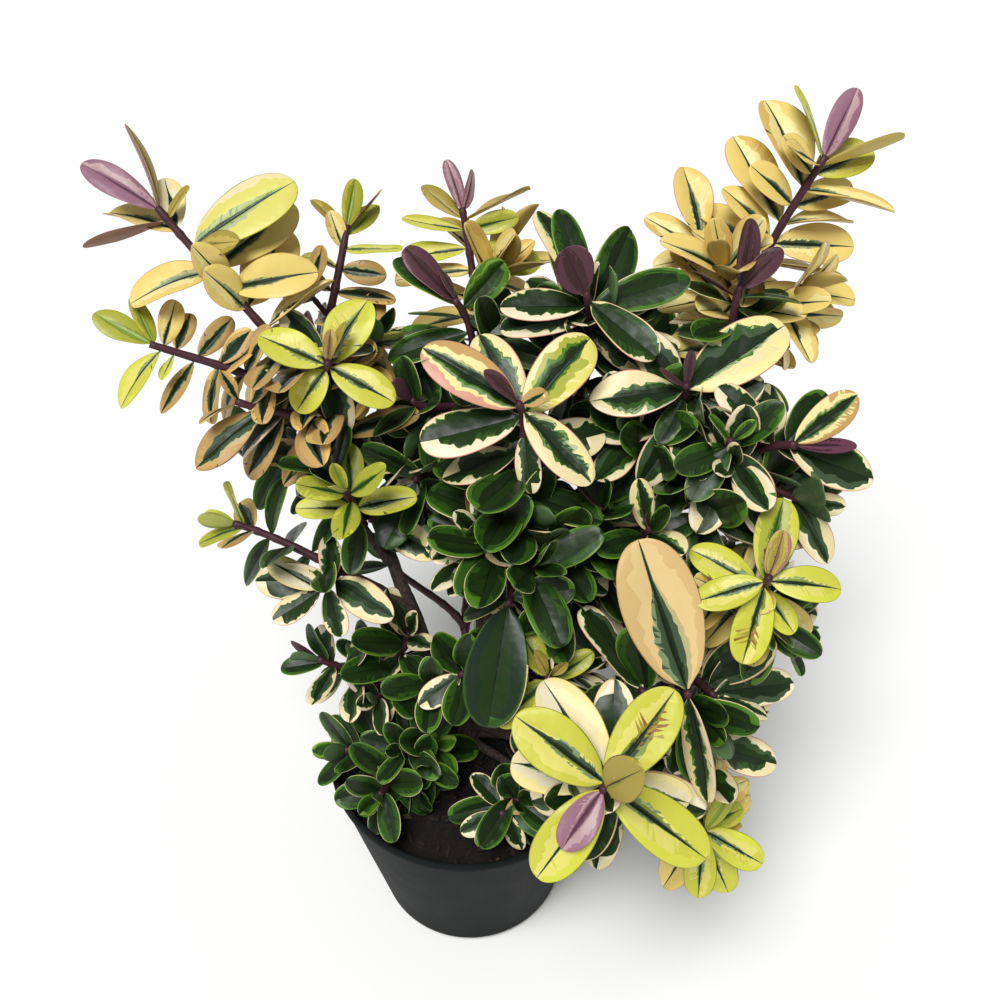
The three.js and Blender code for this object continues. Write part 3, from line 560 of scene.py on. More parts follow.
        shoot((130, 116, 206), (10, 40), 50, 34, 10, 0.15, rows="green edged"),
    ], 3),
    "back_low": ("green", [
        shoot((0, 104, 148), (90, 40), 20, 32, 10, pairs=2, rows="green edged"),
        shoot((-44, 84, 140), (140, 35), 50, 30, 10, 0.12, pairs=2),
        shoot((46, 92, 144), (50, 35), 10, 30, 10, 0.15, rows="edged green"),
    ], 0),
}
# a pair's angle to the twig, its leaves' share of full length, how far it has turned to the
# light, and its distance to the next pair, from the tip down
growth = {
    "opening": (16, 45, 64, 74, 80, 84),
    "length": (0.62, 0.9, 1, 1, 0.95, 0.9),
    "turn": (0, 0.75, 1.5),
    "distance": (0.35, 0.5, 0.8, 1),
    "first": 2.0,  # the first pair's distance below the tip
    "bare": 3.0,  # stretch at the foot of a shoot without leaves
    "swerves": (0, 14, -14, 28, -28),  # degrees a leaf may move aside to clear its neighbours
    "swerveOpening": 0.35,  # how much a leaf that moves aside closes up, over that angle
    "strayAround": 7, "strayOpening": 7, "strayTwist": 14, "straySize": 0.08, "strayDistance": 0.1,
}
sprigPlan = {"length": 17, "reach": 5, "opening": 50, "pairs": 3, "leaf": 0.9, "leafMost": 34, "gap": 8,
             "from": 0.12, "to": 0.6, "foot": 1.3, "tip": 0.9}
# the finer twigs of the boughs themselves: how many to a millimetre, and where they spring. Most of their
# leaves are of the dark kind, painted shade inside the crown
innerPlan = {"density": 0.045, "from": 0.3, "to": 0.97, "leaf": 31,
             "kinds": ("dark", "green", "dark", "edged", "dark"),
             "open": ("left", "left_mid", "left_low", "left_foot", "centre_left", "front_mid", "back_low"),
             "openDensity": 0.022}
# kinds of the inner leaves where a mass has its own: the dark ones are painted shade inside the crown, the
# brown ones partly so
innerKinds = {"left": ("brown", "dark"), "left_inner": ("dark", "edged"), "left_mid": ("dark", "edged"),
              "right": ("green", "edged"), "back_centre": ("lime", "green")}


def listed(table, index):
    return table[min(index, len(table) - 1)]


# limbs: trunk and boughs


def growLimbs():
    limbs = {}
    line = Route((0, 0, soil["crown"] + gap), upward, trunk["fork"], direction(*trunk["lean"]),
                 boughForm["start"], boughForm["end"])

    def trunkRadius(share):
        flare = trunk["flare"] * max(0, 1 - share / trunk["flareShare"]) ** 2
        return trunk["foot"] + (trunk["top"] - trunk["foot"]) * share + flare

    limbs["trunk"] = (line, trunkRadius)
    for name, (parent, at, tip, out, end, *radius) in boughs.items():
        foot = limbs[parent][0].pointAt(at)
        line = Route(foot, direction(*out), tip, direction(*end), boughForm["start"], boughForm["end"])
        thick = radius[0] if radius else boughForm["radius"]

        def boughRadius(share, thick=thick, length=line.length):
            collar = boughForm["collar"] * math.exp(-share * length / boughForm["collarReach"])
            return thick * (1 + (boughForm["taper"] - 1) * share + collar)

        limbs[name] = (line, boughRadius)
    return limbs


limbs = growLimbs()


def tubes(name, lines, sides, step):
    # a curve object with one round tube for each line, made a mesh: closed at both ends
    curve = bpy.data.curves.new(name, "CURVE")
    curve.dimensions = "3D"
    curve.bevel_depth = millimetre
    curve.bevel_resolution = sides // 4
    curve.use_fill_caps = True
    for line, radiusAt in lines:
        count = max(3, round(line.length / step) + 1)
        spline = curve.splines.new("POLY")
        spline.points.add(count - 1)
        for index, share in enumerate(np.linspace(0, 1, count)):
            spline.points[index].co = (*(line.pointAt(share) * millimetre), 1)
            spline.points[index].radius = radiusAt(share)
    holder = addObject(name + "_lines", curve)
    shown = holder.evaluated_get(bpy.context.evaluated_depsgraph_get())
    mesh = bpy.data.meshes.new_from_object(shown)
    bpy.data.objects.remove(holder)
    bm = bmesh.new()
    bm.from_mesh(mesh)
    bmesh.ops.remove_doubles(bm, verts=bm.verts, dist=mergeReach)
    bmesh.ops.recalc_face_normals(bm, faces=bm.faces)
    return bm


def finishPiece(bm, name, materials):
    mesh = bpy.data.meshes.new(name)
    bm.to_mesh(mesh)
    bm.free()
    mesh.shade_smooth()
    for material in materials:
        mesh.materials.append(material)
    piece = addObject(name, mesh)
    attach(piece, "root")
    return piece


mergeReach = 1e-6  # metres: vertices nearer than this are one
barkRelief = {"step": 1.6, "sides": 16, "ridge": 0.25, "ridgeWidth": 2.2, "stretch": 6.0}


def barkMaterial():
    # Old hebe wood has thin, stringy, grey-brown bark: dull, with darker cracks along the limb.
    material, shader = startMaterial("stringyBark", "#3d302a", 0.85)
    fibres = addNoise(material, 900.0, 4.0, (1.0, 1.0, 0.25), Roughness=0.65)
    addTones(material, shader, fibres, "#1d1411", "#51423a", 0.32, 0.68)
    addBump(material, shader, fibres, 0.8, 0.0004)
    return material


def makeWood():
    bm = tubes("wood", limbs.values(), barkRelief["sides"], barkRelief["step"])
    bm.normal_update()
    for vert in bm.verts:
        spot = vert.co / millimetre / barkRelief["ridgeWidth"]
        spot.z /= barkRelief["stretch"]
        ridge = noise.noise(spot) * barkRelief["ridge"] * millimetre
        vert.co += vert.normal * ridge
    wood = finishPiece(bm, "wood", [barkMaterial()])
    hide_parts("trunk", *["bough_" + name for name in boughs])


makeWood()
print("wood made")

# shoots, twigs and leaves


def sprigFrom(line, share, draw, leaf, kinds):
    along = line.slopeAt(share)
    side = turned(squareTo(along, light), along, draw() * 2 * math.pi)
    grow = between(along, side, math.radians(sprigPlan["opening"]))
    foot = line.pointAt(share)
    tip = foot + grow * (sprigPlan["length"] + spread(draw, sprigPlan["reach"]))
    bent = Route(foot, grow, tip, unit(grow + light), twigForm["start"], twigForm["end"])
    kind = kinds[int(draw() * len(kinds))]
    return {"line": bent, "roll": draw() * 180, "leaf": leaf, "gap": sprigPlan["gap"],
            "pairs": sprigPlan["pairs"], "sprig": True, "young": (kind, kind), "rows": (kind,)}


def shareOf(plan, index, draw, count):
    # where the next of some twigs springs, between two shares of the line that bears them
    return plan["from"] + (plan["to"] - plan["from"]) * (index + draw()) / count


def shootsOf(name, draw):
    tint, plans, sprigs = masses[name]
    bough = limbs[name][0]
    out = bough.slope(1)
    made = []
    for plan in plans:
        tip = np.array(plan["tip"], float)
        if made:
            leader = made[0]["line"]
            foot = leader.pointAt(plan["at"])
            out = unit(leader.slopeAt(plan["at"]) + unit(tip - foot))
        else:
            foot = bough.place(1) + bough.slope(1) * gap
        line = Route(foot, out, tip, direction(*plan["grow"]), twigForm["start"], twigForm["end"])
        made.append({**plan, "line": line})
    for leader in list(made):
        for index in range(sprigs):
            share = shareOf(sprigPlan, index, draw, sprigs)
            kinds = leader["rows"][-1:]
            leaf = min(leader["leaf"] * sprigPlan["leaf"], sprigPlan["leafMost"])
            made.append(sprigFrom(leader["line"], share, draw, leaf, kinds))
    inner = int(bough.length * innerPlan["openDensity" if name in innerPlan["open"] else "density"])
    for index in range(inner):
        share = shareOf(innerPlan, index, draw, inner)
        kinds = innerKinds.get(name, innerPlan["kinds"])
        made.append(sprigFrom(bough, share, draw, innerPlan["leaf"], kinds))
    return made


def tipSeen(foot, across, down, deeper):
    # the point that the camera shows at that place in its picture
    pitch = math.radians(cameraPlan["pitch"])
    ahead = np.array([0, math.sin(pitch), -math.cos(pitch)])
    upright = np.array([0, math.cos(pitch), math.sin(pitch)])
    eye = np.array(cameraPlan["place"]) / millimetre
    wide = cameraPlan["sensor"] / cameraPlan["lens"] / cameraPlan["picture"]
    middle = cameraPlan["picture"] / 2
    ray = ahead + wide * (np.array([across - middle, 0, 0]) - (down - middle) * upright)
    return eye + ray * (np.dot(foot - eye, ahead) + deeper)


def leafFrom(plan, pair, half, share, stray, swerve):
    # one leaf of a pair, at a share of the shoot's length. swerve: degrees round the twig that it
    # has moved aside to clear its neighbours
    line = plan["line"]
    along = line.slopeAt(share)
    side = squareTo(along, levelOf(line.slope(1), upward))
    other = np.cross(along, side)
    aims = plan.get("aims", ())
    index = 2 * pair + half
    kind = plan["young"][half] if pair == 0 else listed(plan["rows"], pair - 1)
    leaf = {"foot": line.pointAt(share), "kind": kind, "pair": pair, "slim": None,
            "rank": "sprig" if plan.get("sprig") else "leader"}
    if index < len(aims):
        aim = aims[index]
        if "spot" in aim:
            reach = tipSeen(leaf["foot"], *aim["spot"]) - leaf["foot"]
        else:
            reach = direction(*aim["way"]) * aim["length"]
        axis = turned(unit(reach), along, math.radians(swerve))
        face = turned(squareTo(axis, light), axis, math.radians(aim["twist"]))
        return {**leaf, "axis": axis, "face": face, "length": np.linalg.norm(reach),
                "kind": aim["kind"], "rank": "aimed", "slim": aim["slim"]}
    around = math.radians(plan["roll"] + 90 * pair + 180 * half + stray["around"] + swerve)
    opening = math.radians(plan.get("open", listed(growth["opening"], pair)) + stray["opening"]
                           - abs(swerve) * growth["swerveOpening"])
    size = 1 if "open" in plan else listed(growth["length"], pair)
    outward = between(side, other, around)
    axis = between(along, outward, opening)
    face = turned(between(-outward, along, opening), axis, math.radians(stray["twist"]))
    face = face + squareTo(axis, light) * listed(growth["turn"], pair)
    return {**leaf, "axis": axis, "face": squareTo(axis, face),
            "length": plan["leaf"] * size * stray["size"]}


def leavesOf(plan, draw):
    # for each leaf the ways it can grow, the favourite first
    below, pair, leaves = growth["first"], 0, []
    while pair < plan.get("pairs", 99) and below < plan["line"].length - growth["bare"]:
        share = 1 - below / plan["line"].length
        for half in (0, 1):
            stray = {"around": spread(draw, growth["strayAround"]),
                     "opening": spread(draw, growth["strayOpening"]),
                     "size": 1 + spread(draw, growth["straySize"]),
                     "twist": spread(draw, growth["strayTwist"])}
            leaves.append([leafFrom(plan, pair, half, share, stray, swerve)
                           for swerve in growth["swerves"]])
        distance = plan["gap"] * listed(growth["distance"], pair)
        below += distance * (1 + spread(draw, growth["strayDistance"]))
        pair += 1
    return leaves


leafForm = {
    "slim": 0.49, "thick": 0.016, "foot": 0.6,
    "base": 0.72, "end": 0.5, "stalk": 0.65, "stalkLength": 0.07,
    "fold": 0.12, "strayFold": 0.12, "butterFold": 0.18,  # butter leaves fold more
    "droop": 0.10, "droopFirst": 0.4, "droopStep": 0.3, "droopPairs": 4,  # more from pair to pair
    "strayWidth": 0.1, "strayWave": 0.08, "strayBelly": 0.045, "waves": 6,
    "groove": 0.02, "grooveWidth": 0.12,
    "cup": 1.3,  # how the fold steepens towards the edge
}
# How a leaf is tested for what it would cut: narrower than it is, without its foot, which may
# touch the leaves of its own pair (clasp) and its twig (stalk). Twigs are tested thinner too.
leafTest = {"width": 0.8, "clasp": 0.45, "stalk": 0.15, "ends": (0.9, 0.995), "narrowest": 0.04}
tubeTest = {"step": 10, "radius": 0.8, "corners": (0.0, 2.09, 4.19)}


def halfWidth(share):
    # half the blade's width over its greatest: a short stalk, widest past the middle, a round end
    base, end = leafForm["base"], leafForm["end"]
    widest = base / (base + end)
    peak = widest ** base * (1 - widest) ** end
    stalk = 1 - leafForm["stalk"] * np.exp(-(share / leafForm["stalkLength"]) ** 2)
    return share ** base * (1 - share) ** end / peak * stalk


def testShape(rows, faces):
    points = [Vector(p) for row in rows for p in row]
    return BVHTree.FromPolygons(points, faces), np.min(points, axis=0), np.max(points, axis=0)


def coarseLeaf(leaf, start):
    # the leaf's outline as two strips of three faces, for the test of what it would cut
    across = np.cross(leaf["axis"], leaf["face"])
    rows = []
    for share in (start, start + (1 - start) * 0.5, *leafTest["ends"]):
        middle = leaf["foot"] + leaf["axis"] * (leafForm["foot"] + share * leaf["length"])
        middle = middle - leaf["face"] * leaf["droop"] * leaf["length"] * share * share
        out = halfWidth(max(share, leafTest["narrowest"])) * leafForm["slim"] * leaf["length"] / 2
        out *= leafTest["width"]
        lift = leaf["face"] * leafForm["fold"] * out
        rows.append([middle - across * out + lift, middle, middle + across * out + lift])
    return testShape(rows, [(i, i + 1, i + 4, i + 3) for i in (0, 1, 3, 4, 6, 7)])


def ringFaces(sides, rings):
    return [(r * sides + k, r * sides + (k + 1) % sides, (r + 1) * sides + (k + 1) % sides,
             (r + 1) * sides + k) for r in rings for k in range(sides)]


def coarseTube(line, radiusAt):
    count = max(3, round(line.length / tubeTest["step"]) + 1)
    rings = []
    for share in np.linspace(0, 1, count):
        along = line.slopeAt(share)
        side = squareTo(along, levelOf(along, upward))
        other = np.cross(along, side)
        radius = radiusAt(share) * tubeTest["radius"]
        rings.append([line.pointAt(share) + radius * between(side, other, a)
                      for a in tubeTest["corners"]])
    return testShape(rings, ringFaces(3, range(count - 1)))


def coarsePot():
    # the pot's wall and the top of the compost
    sides = 48
    wallTop = pot["rim"] - pot["lip"] / 2
    clear, middle = 1, 8  # the test's margin above edge and compost, and its hole for the stem
    rings = ((pot["base"], 0), (wallTop, pot["height"] + clear), (wallTop, soil["edge"] + clear),
             (middle, soil["crown"]))
    rows = [[(out * math.cos(a), out * math.sin(a), z)
             for a in np.linspace(0, 2 * math.pi, sides, endpoint=False)] for out, z in rings]
    return testShape(rows, ringFaces(sides, (0, 2)))


def boxesMeet(a, b):
    return bool(np.all(a[1] <= b[2]) and np.all(b[1] <= a[2]))


def touches(shape, others):
    return any(boxesMeet(shape, other) and shape[0].overlap(other[0]) for other in others)


def twigRadius(plan):
    form = sprigPlan if plan.get("sprig") else twigForm
    foot, tip = form["foot"], form["tip"]
    return lambda share: foot + (tip - foot) * share


def growMasses():
    wood = [coarseTube(*limb) for limb in limbs.values()]
    potWall = coarsePot()
    grown = {}
    for index, name in enumerate(masses):
        draw = seeded(index + 1)
        grown[name] = {"draw": draw, "shoots": shootsOf(name, draw), "leaves": []}
    stems = []
    for kind in (False, True):  # leading shoots first, then the sprigs that find room
        for mass in grown.values():
            kept = []
            for plan in mass["shoots"]:
                if bool(plan.get("sprig")) != kind:
                    kept.append(plan)
                    continue
                plan["tube"] = coarseTube(plan["line"], twigRadius(plan))
                if not kind or not touches(plan["tube"], wood):
                    kept.append(plan)
                    stems.append((mass, plan["tube"]))
            mass["shoots"] = kept
    blades = []
    for kind in (False, True):
        for mass in grown.values():
            near = [potWall] + wood + [tube for owner, tube in stems if owner is not mass]
            for plan in mass["shoots"]:
                if bool(plan.get("sprig")) != kind:
                    continue
                for ways in leavesOf(plan, mass["draw"]):
                    for leaf in ways:
                        below = min(leaf["pair"], leafForm["droopPairs"])
                        bend = leafForm["droopFirst"] + leafForm["droopStep"] * below
                        leaf["droop"] = leafForm["droop"] * bend
                        outer = coarseLeaf(leaf, leafTest["clasp"])
                        if touches(outer, blades):
                            continue
                        if not touches(coarseLeaf(leaf, leafTest["stalk"]), near):
                            blades.append(outer)
                            mass["leaves"].append(leaf)
                            break
    return grown


grown = growMasses()
print("grown:", sum(len(m["shoots"]) for m in grown.values()), "shoots,",
      sum(len(m["leaves"]) for m in grown.values()), "leaves")

twigRelief = {"sides": 12, "step": 2.2, "swell": 0.22, "swellEvery": 9.0}


def stemMaterial():
    # Young hebe stems are smooth and wine red, with a soft shine.
    material, shader = startMaterial("youngStem", "#432029", 0.5)
    mottle = addNoise(material, 500.0, 3.0)
    addGloss(material, shader, mottle, 0.4, 0.65)
    addBump(material, shader, mottle, 0.4, 0.0002)
    return material


def makeTwigs():
    lines = []
    for mass in grown.values():
        for plan in mass["shoots"]:
            plain = twigRadius(plan)

            def knotty(share, plain=plain, length=plan["line"].length):
                wave = math.cos(2 * math.pi * share * length / twigRelief["swellEvery"])
                return plain(share) * (1 + twigRelief["swell"] * max(0, wave) ** 4)

            lines.append((plan["line"], knotty))
    bm = tubes("twigs", lines, twigRelief["sides"], twigRelief["step"])
    twigs = finishPiece(bm, "twigs", [stemMaterial()])
    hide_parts(*["mass_" + name for name in masses])


makeTwigs()
print("twigs made")

# Leaf kinds. zones: half widths of the dark green and the feathered zones over the blade's, how far
# up the leaf they run, how they narrow towards it, how uneven their edges are, and how unlike the
# two halves of a leaf are. colours: of each zone from the midrib out, which are vein, inner and
# outer green, feather, wash, blade, margin and rim, then of flecks and of the underside.
def leafKind(piece, zones, colours, slim=leafForm["slim"]):
    colours = [group.split() for group in colours.split(", ")]
    return {"piece": piece, "zones": zones, "colours": colours, "slim": slim}


leafKinds = {
    "lime": leafKind("limeLeaves", (0.17, 0.52, 0.92, 1.1, 0.5, 0.4),
        "nightGreen, deepGreen, deepGreen greyGreen, greyGreen feather limeGreen, washLime feather "
        "limePale, limePale lime limePale, lime limeBright, limeDeep, leafGreen, underLime"),
    "scarredLime": leafKind("limeLeaves", (0.16, 0.5, 0.92, 1.1, 0.5, 0.3),
        "nightGreen, deepGreen, deepGreen greyGreen, limeGreen greyGreen, washLime limeGreen, "
        "limePale lime, lime limeBright, limeDeep, scar, underLime"),
    "paleLime": leafKind("limeLeaves", (0.16, 0.7, 0.9, 0.8, 0.5, 0.3),
        "deepGreen, greyGreen, greyGreen feather, feather washLime, washCream limePale, limePale, "
        "limePale cream, lime, leafGreen, underLime"),
    "limeGreen": leafKind("limeLeaves", (0.28, 0.62, 0.94, 0.9, 0.5, 0.3),
        "deepGreen, leafGreen, leafGreen freshGreen, freshGreen limeGreen, limeGreen limeDeep, "
        "limeDeep, limeDeep lime, limeDeep, leafGreen, underLime"),
    "fresh": leafKind("limeLeaves", (0.2, 0.5, 0.95, 0.7, 0.3, 0.2),
        "springGreen, springGreen, springGreen, springGreen limeGreen, limeGreen limeDeep, "
        "limeDeep, limeDeep lime, limeDeep, springGreen, underLime", 0.42),
    "olive": leafKind("limeLeaves", (0.14, 0.4, 0.9, 0.8, 0.3, 0.2),
        "umber, umber olive, olive, olive limeGreen, olive tan, tan olive, tan olive, "
        "edgeBrown, umber, tan", 0.42),
    "butter": leafKind("butterLeaves", (0.2, 0.52, 0.86, 1.2, 0.6, 0.45),
        "nightGreen, deepGreen, deepGreen greyGreen, greyGreen feather, washButter feather "
        "butterPale, butterPale butter, butter butter butterWarm, blush butterWarm, leafGreen, "
        "underButter"),
    "peach": leafKind("butterLeaves", (0.27, 0.85, 0.86, 0.8, 0.35, 0.25),
        "nightGreen, deepGreen, deepGreen greyGreen, greyGreen, greyGreen feather washButter, "
        "apricotPale, apricotPale apricot, peach apricot, leafGreen, underButter"),
    "cream": leafKind("butterLeaves", (0.3, 0.62, 0.94, 1.0, 0.6, 0.4),
        "nightGreen, deepGreen, deepGreen greyGreen, greyGreen feather, washCream ivory, ivory cream, "
        "cream butterPale, butter blush, leafGreen, underButter"),
    # brown: older butter leaves with a wider dark centre and dull tan margins; their darkness is partly
    # painted shade, as they sit under other leaves
    "brown": leafKind("butterLeaves", (0.5, 0.68, 0.95, 0.5, 0.8, 0.4),
        "nightGreen, deepGreen nightGreen, deepGreen greyGreen, greyGreen, washButter feather, peach "
        "sand, sand butterWarm, edgeBrown sand, umber, underButter"),
    "edged": leafKind("edgedLeaves", (0.86, 0.93, 1.06, 0.22, 1.4, 0.3),
        "nightGreen, deepGreen darkGreen, darkGreen leafGreen greyGreen, leafGreen freshGreen, "
        "freshGreen washCream cream, cream ivory, ivory cream, blush, freshGreen, underGreen"),
    "creamEdged": leafKind("edgedLeaves", (0.48, 0.68, 0.98, 0.3, 1.4, 0.55),
        "nightGreen, deepGreen, darkGreen greyGreen leafGreen, leafGreen feather, washCream "
        "freshGreen feather, cream butterPale, cream ivory, blush, freshGreen, underGreen"),
    "halfEdged": leafKind("edgedLeaves", (0.48, 0.62, 0.98, 0.2, 0.9, 0.95),
        "nightGreen, deepGreen, darkGreen leafGreen greyGreen, leafGreen feather, washCream "
        "freshGreen, butterPale cream, butterPale cream, blush, freshGreen, underGreen"),
    "blushEdged": leafKind("edgedLeaves", (0.26, 0.42, 0.97, 0.3, 0.8, 0.6),
        "nightGreen, deepGreen, deepGreen leafGreen, leafGreen freshGreen, washButter feather, "
        "butterPale peach, butterPale peach blush, blush, freshGreen, underGreen"),
    "green": leafKind("greenLeaves", (0.84, 0.92, 1.05, 0.1, 0.3, 0.1),
        "nightGreen, deepGreen darkGreen, deepGreen darkGreen leafGreen, leafGreen darkGreen, "
        "leafGreen freshGreen, freshGreen leafGreen, freshGreen, springGreen cream, freshGreen, "
        "underGreen"),
    "fineGreen": leafKind("greenLeaves", (0.7, 0.85, 1.05, 0.1, 0.4, 0.2),
        "deepGreen, darkGreen leafGreen, leafGreen freshGreen, freshGreen, freshGreen, freshGreen "
        "springGreen, springGreen freshGreen, springGreen cream, springGreen, underGreen"),
    # dark: leaves in dark and bluish greens only, painted shade for leaves inside the crown and under
    # others
    "dark": leafKind("greenLeaves", (0.88, 0.94, 1.05, 0.1, 0.2, 0.1),
        "nightGreen, blueGreen darkGreen, blueGreen, darkGreen, darkGreen, leafGreen, leafGreen, "
        "cream leafGreen, leafGreen, underGreen"),
    "springGreen": leafKind("greenLeaves", (0.6, 0.8, 1.0, 0.2, 0.4, 0.1),
        "leafGreen, freshGreen, freshGreen, springGreen freshGreen, springGreen, springGreen, "
        "springGreen, springGreen, limeDeep, underGreen"),
    "bud": leafKind("tipLeaves", (0.5, 0.75, 1.0, 0.2, 0.3, 0.3),
        "wine, budBrown, budBrown budPlum, budPlum budBrown, budPlum, budPlum, budPlum budBrown, "
        "rose budPlum, plum, budPlum", 0.4),
    "budOlive": leafKind("tipLeaves", (0.4, 0.7, 1.0, 0.3, 0.3, 0.2),
        "wine, olive edgeBrown, olive edgeBrown, olive, olive tan, tan olive, tan rose, rose, "
        "plum, edgeBrown", 0.4),
    "mauve": leafKind("tipLeaves", (0.25, 0.55, 0.95, 0.8, 0.3, 0.2),
        "wine, plum, plum mauve, mauve, mauve mauvePale, mauve mauvePale, mauve, rose, mauve, "
        "plum", 0.36),
    "wine": leafKind("tipLeaves", (0.35, 0.7, 1.0, 0.3, 0.3, 0.2),
        "wine, wine, wine plum, plum, plum, wine plum, plum, wine, plum, plum", 0.4),
    "yellowEdged": leafKind("edgedLeaves", (0.48, 0.66, 0.98, 0.25, 1.1, 0.8),
        "nightGreen, deepGreen, darkGreen leafGreen greyGreen, leafGreen freshGreen, freshGreen "
        "limeGreen, limeDeep limePale, limePale butterPale, blush, freshGreen, underGreen"),
}
leafGrid = {
    "rows": {"aimed": 34, "leader": 20, "sprig": 12},
    "crowd": (0.55, 0.45),  # shares of rows that crowd towards foot and tip, and of even ones
    "backs": (-0.55, 0.0, 0.55),  # columns of the lower face between its edges
    "raggedFrom": 26,
    "variants": 8,
    "slant": 0.11,
    "vein": 0.045, "veinTaper": 1.1,
    "rim": 0.955,
    "rimWander": 0.02,
    "thin": 0.014,
    "lean": (0.55, 0.9), "farStray": 0.3, "farMost": 1.1,  # how the two halves differ
    "waves": 3.2, "ripples": 9.0,  # of the zones' edges, over the leaf's length
    "split": (0.45, 0.55),  # feather and wash, over the room between them
    "drift": 0.5,  # how much a zone's tone changes from one end of the leaf to the other
    "clouds": 4.5,
    "cloud": {"still": 0.12, "lively": 0.55},  # how much it wanders on the way
    "grain": {"still": 0.05, "lively": 0.22},  # how much it differs from one face to the next
    "fleckShare": 0.004,
    "scarAt": 0.6, "scarReach": 0.12, "scarShare": 0.5,
}
# Places in a kind's list of colours.
zoneAt = {"lively": (2, 3, 4), "scarred": (2, 3, 4, 5), "margin": 6, "flecks": 8, "underside": 9}
# How far the edge of a zone follows the slow waves and the quick strays.
edgeStray = {"inner": (0.2, 0), "centre": (0.6, 0.12), "feather": (0.5, 0.8), "wash": (-0.5, 0.7),
             "blade": (0.35, 0.1)}


def toneOf(group, value):
    return group[min(max(int(value * len(group)), 0), len(group) - 1)]


def strayOf(zone, slow, quick=0.0):
    return edgeStray[zone][0] * slow + edgeStray[zone][1] * quick


def leafPattern(kind, variant, rows):
    # The grid of one leaf on its flat outline: rows from foot to tip, columns along the edges of
    # its coloured zones. Within a zone the colour drifts from one of its shades to the next.
    plan = leafKinds[kind]
    centreHalf, featherHalf, reach, waneBy, ragged, unlike = plan["zones"]
    ragged *= min(1, rows / leafGrid["raggedFrom"])  # on few rows a ragged zone would look blocky
    draw = seeded(variant + 11 * (1 + list(leafKinds).index(kind)))
    shades = sorted({shade for group in plan["colours"] for shade in group} | {"wine", "olive"})
    lean, more = leafGrid["lean"]
    sides = [(1 + spread(draw, unlike), lean + more * draw(), 1 + spread(draw, leafGrid["farStray"]))
             for _ in (0, 1)]
    wander = [draw() * 50 for _ in range(8)]
    even = np.linspace(0, 1, rows + 1)
    crowded, plain = leafGrid["crowd"]
    shares = crowded * (0.5 - 0.5 * np.cos(math.pi * even)) + plain * even
    vein, thin, rim, rimWander = (leafGrid[n] for n in ("vein", "thin", "rim", "rimWander"))
    columns = []
    for share in shares:
        edges = []
        for side, (wide, lean, far) in enumerate(sides):
            wane = max(0.0, 1 - share / (reach * min(far, leafGrid["farMost"]))) ** waneBy
            slow = noise.noise(Vector((share * leafGrid["waves"], side * 9.1, wander[side])))
            ripple = noise.noise(Vector((share * leafGrid["ripples"], side * 9.1, wander[2 + side])))
            slow += 0.5 * ripple
            quick, quicker, quickest = spread(draw, 1.0), spread(draw, 1.0), spread(draw, 1.0)
            centre = centreHalf * wide * wane * (1 + ragged * strayOf("centre", slow, quick))
            extra = (featherHalf - centreHalf) * wane * lean
            featherRoom, washRoom = (extra * part for part in leafGrid["split"])
            feather = centre + featherRoom * (1 + ragged * strayOf("feather", slow, quicker))
            wash = feather + washRoom * (1 + ragged * strayOf("wash", slow, quickest))
            ribs = vein * (leafGrid["veinTaper"] - share)
            # each zone stays at least a thin strip wide
            centre = min(max(centre, ribs + thin), rim - 4 * thin)
            feather = min(max(feather, centre + thin), rim - 3 * thin)
            wash = min(max(wash, feather + thin), rim - 2 * thin)
            blade = wash + (rim - wash) * (0.5 + strayOf("blade", slow, quick))
            blade = min(max(blade, wash + thin / 2), rim - rimWander)
            inner = ribs + (centre - ribs) * (0.55 + strayOf("inner", slow))
            edge = rim + rimWander * min(max(slow, -1), 1)
            edges.append([0.0, ribs, inner, centre, feather, wash, blade, edge, 1.0])
        columns.append([-e for e in edges[0][:0:-1]] + edges[1])
    zones = list(range(8))
    tones = [[(draw(), spread(draw, leafGrid["drift"])) for _ in zones] for _ in (0, 1)]
    faceShade = []
    for row in range(rows):
        share = shares[row]
        nearScar = math.exp(-((share - leafGrid["scarAt"]) / leafGrid["scarReach"]) ** 2)
        bruise = leafGrid["scarShare"] * nearScar
        for column, zone in enumerate(zones[::-1] + zones):
            side = int(column >= len(zones))
            mood = "lively" if zone in zoneAt["lively"] else "still"
            cloud = noise.noise(Vector((share * leafGrid["clouds"], wander[4] + zone * 3.3, 5.0 * side)))
            start, drift = tones[side][zone]
            tone = start + drift * (share - 0.5) + leafGrid["cloud"][mood] * cloud
            pair = []
            for _ in (0, 1):
                shade = toneOf(plan["colours"][zone], tone + spread(draw, leafGrid["grain"][mood]))
                if zone == zoneAt["margin"] and draw() < leafGrid["fleckShare"]:
                    shade = plan["colours"][zoneAt["flecks"]][0]
                if kind == "scarredLime" and zone in zoneAt["scarred"] and draw() < bruise:
                    shade = "scar" if draw() < 0.5 else "olive"
                if row == 0 or (row == 1 and zone == 0):
                    shade = "wine"
                pair.append(shades.index(shade))
            faceShade.append(pair)
    under = shades.index(plan["colours"][zoneAt["underside"]][0])
    return {"shares": shares, "columns": np.array(columns), "faceShade": faceShade,
            "under": under, "shades": shades}


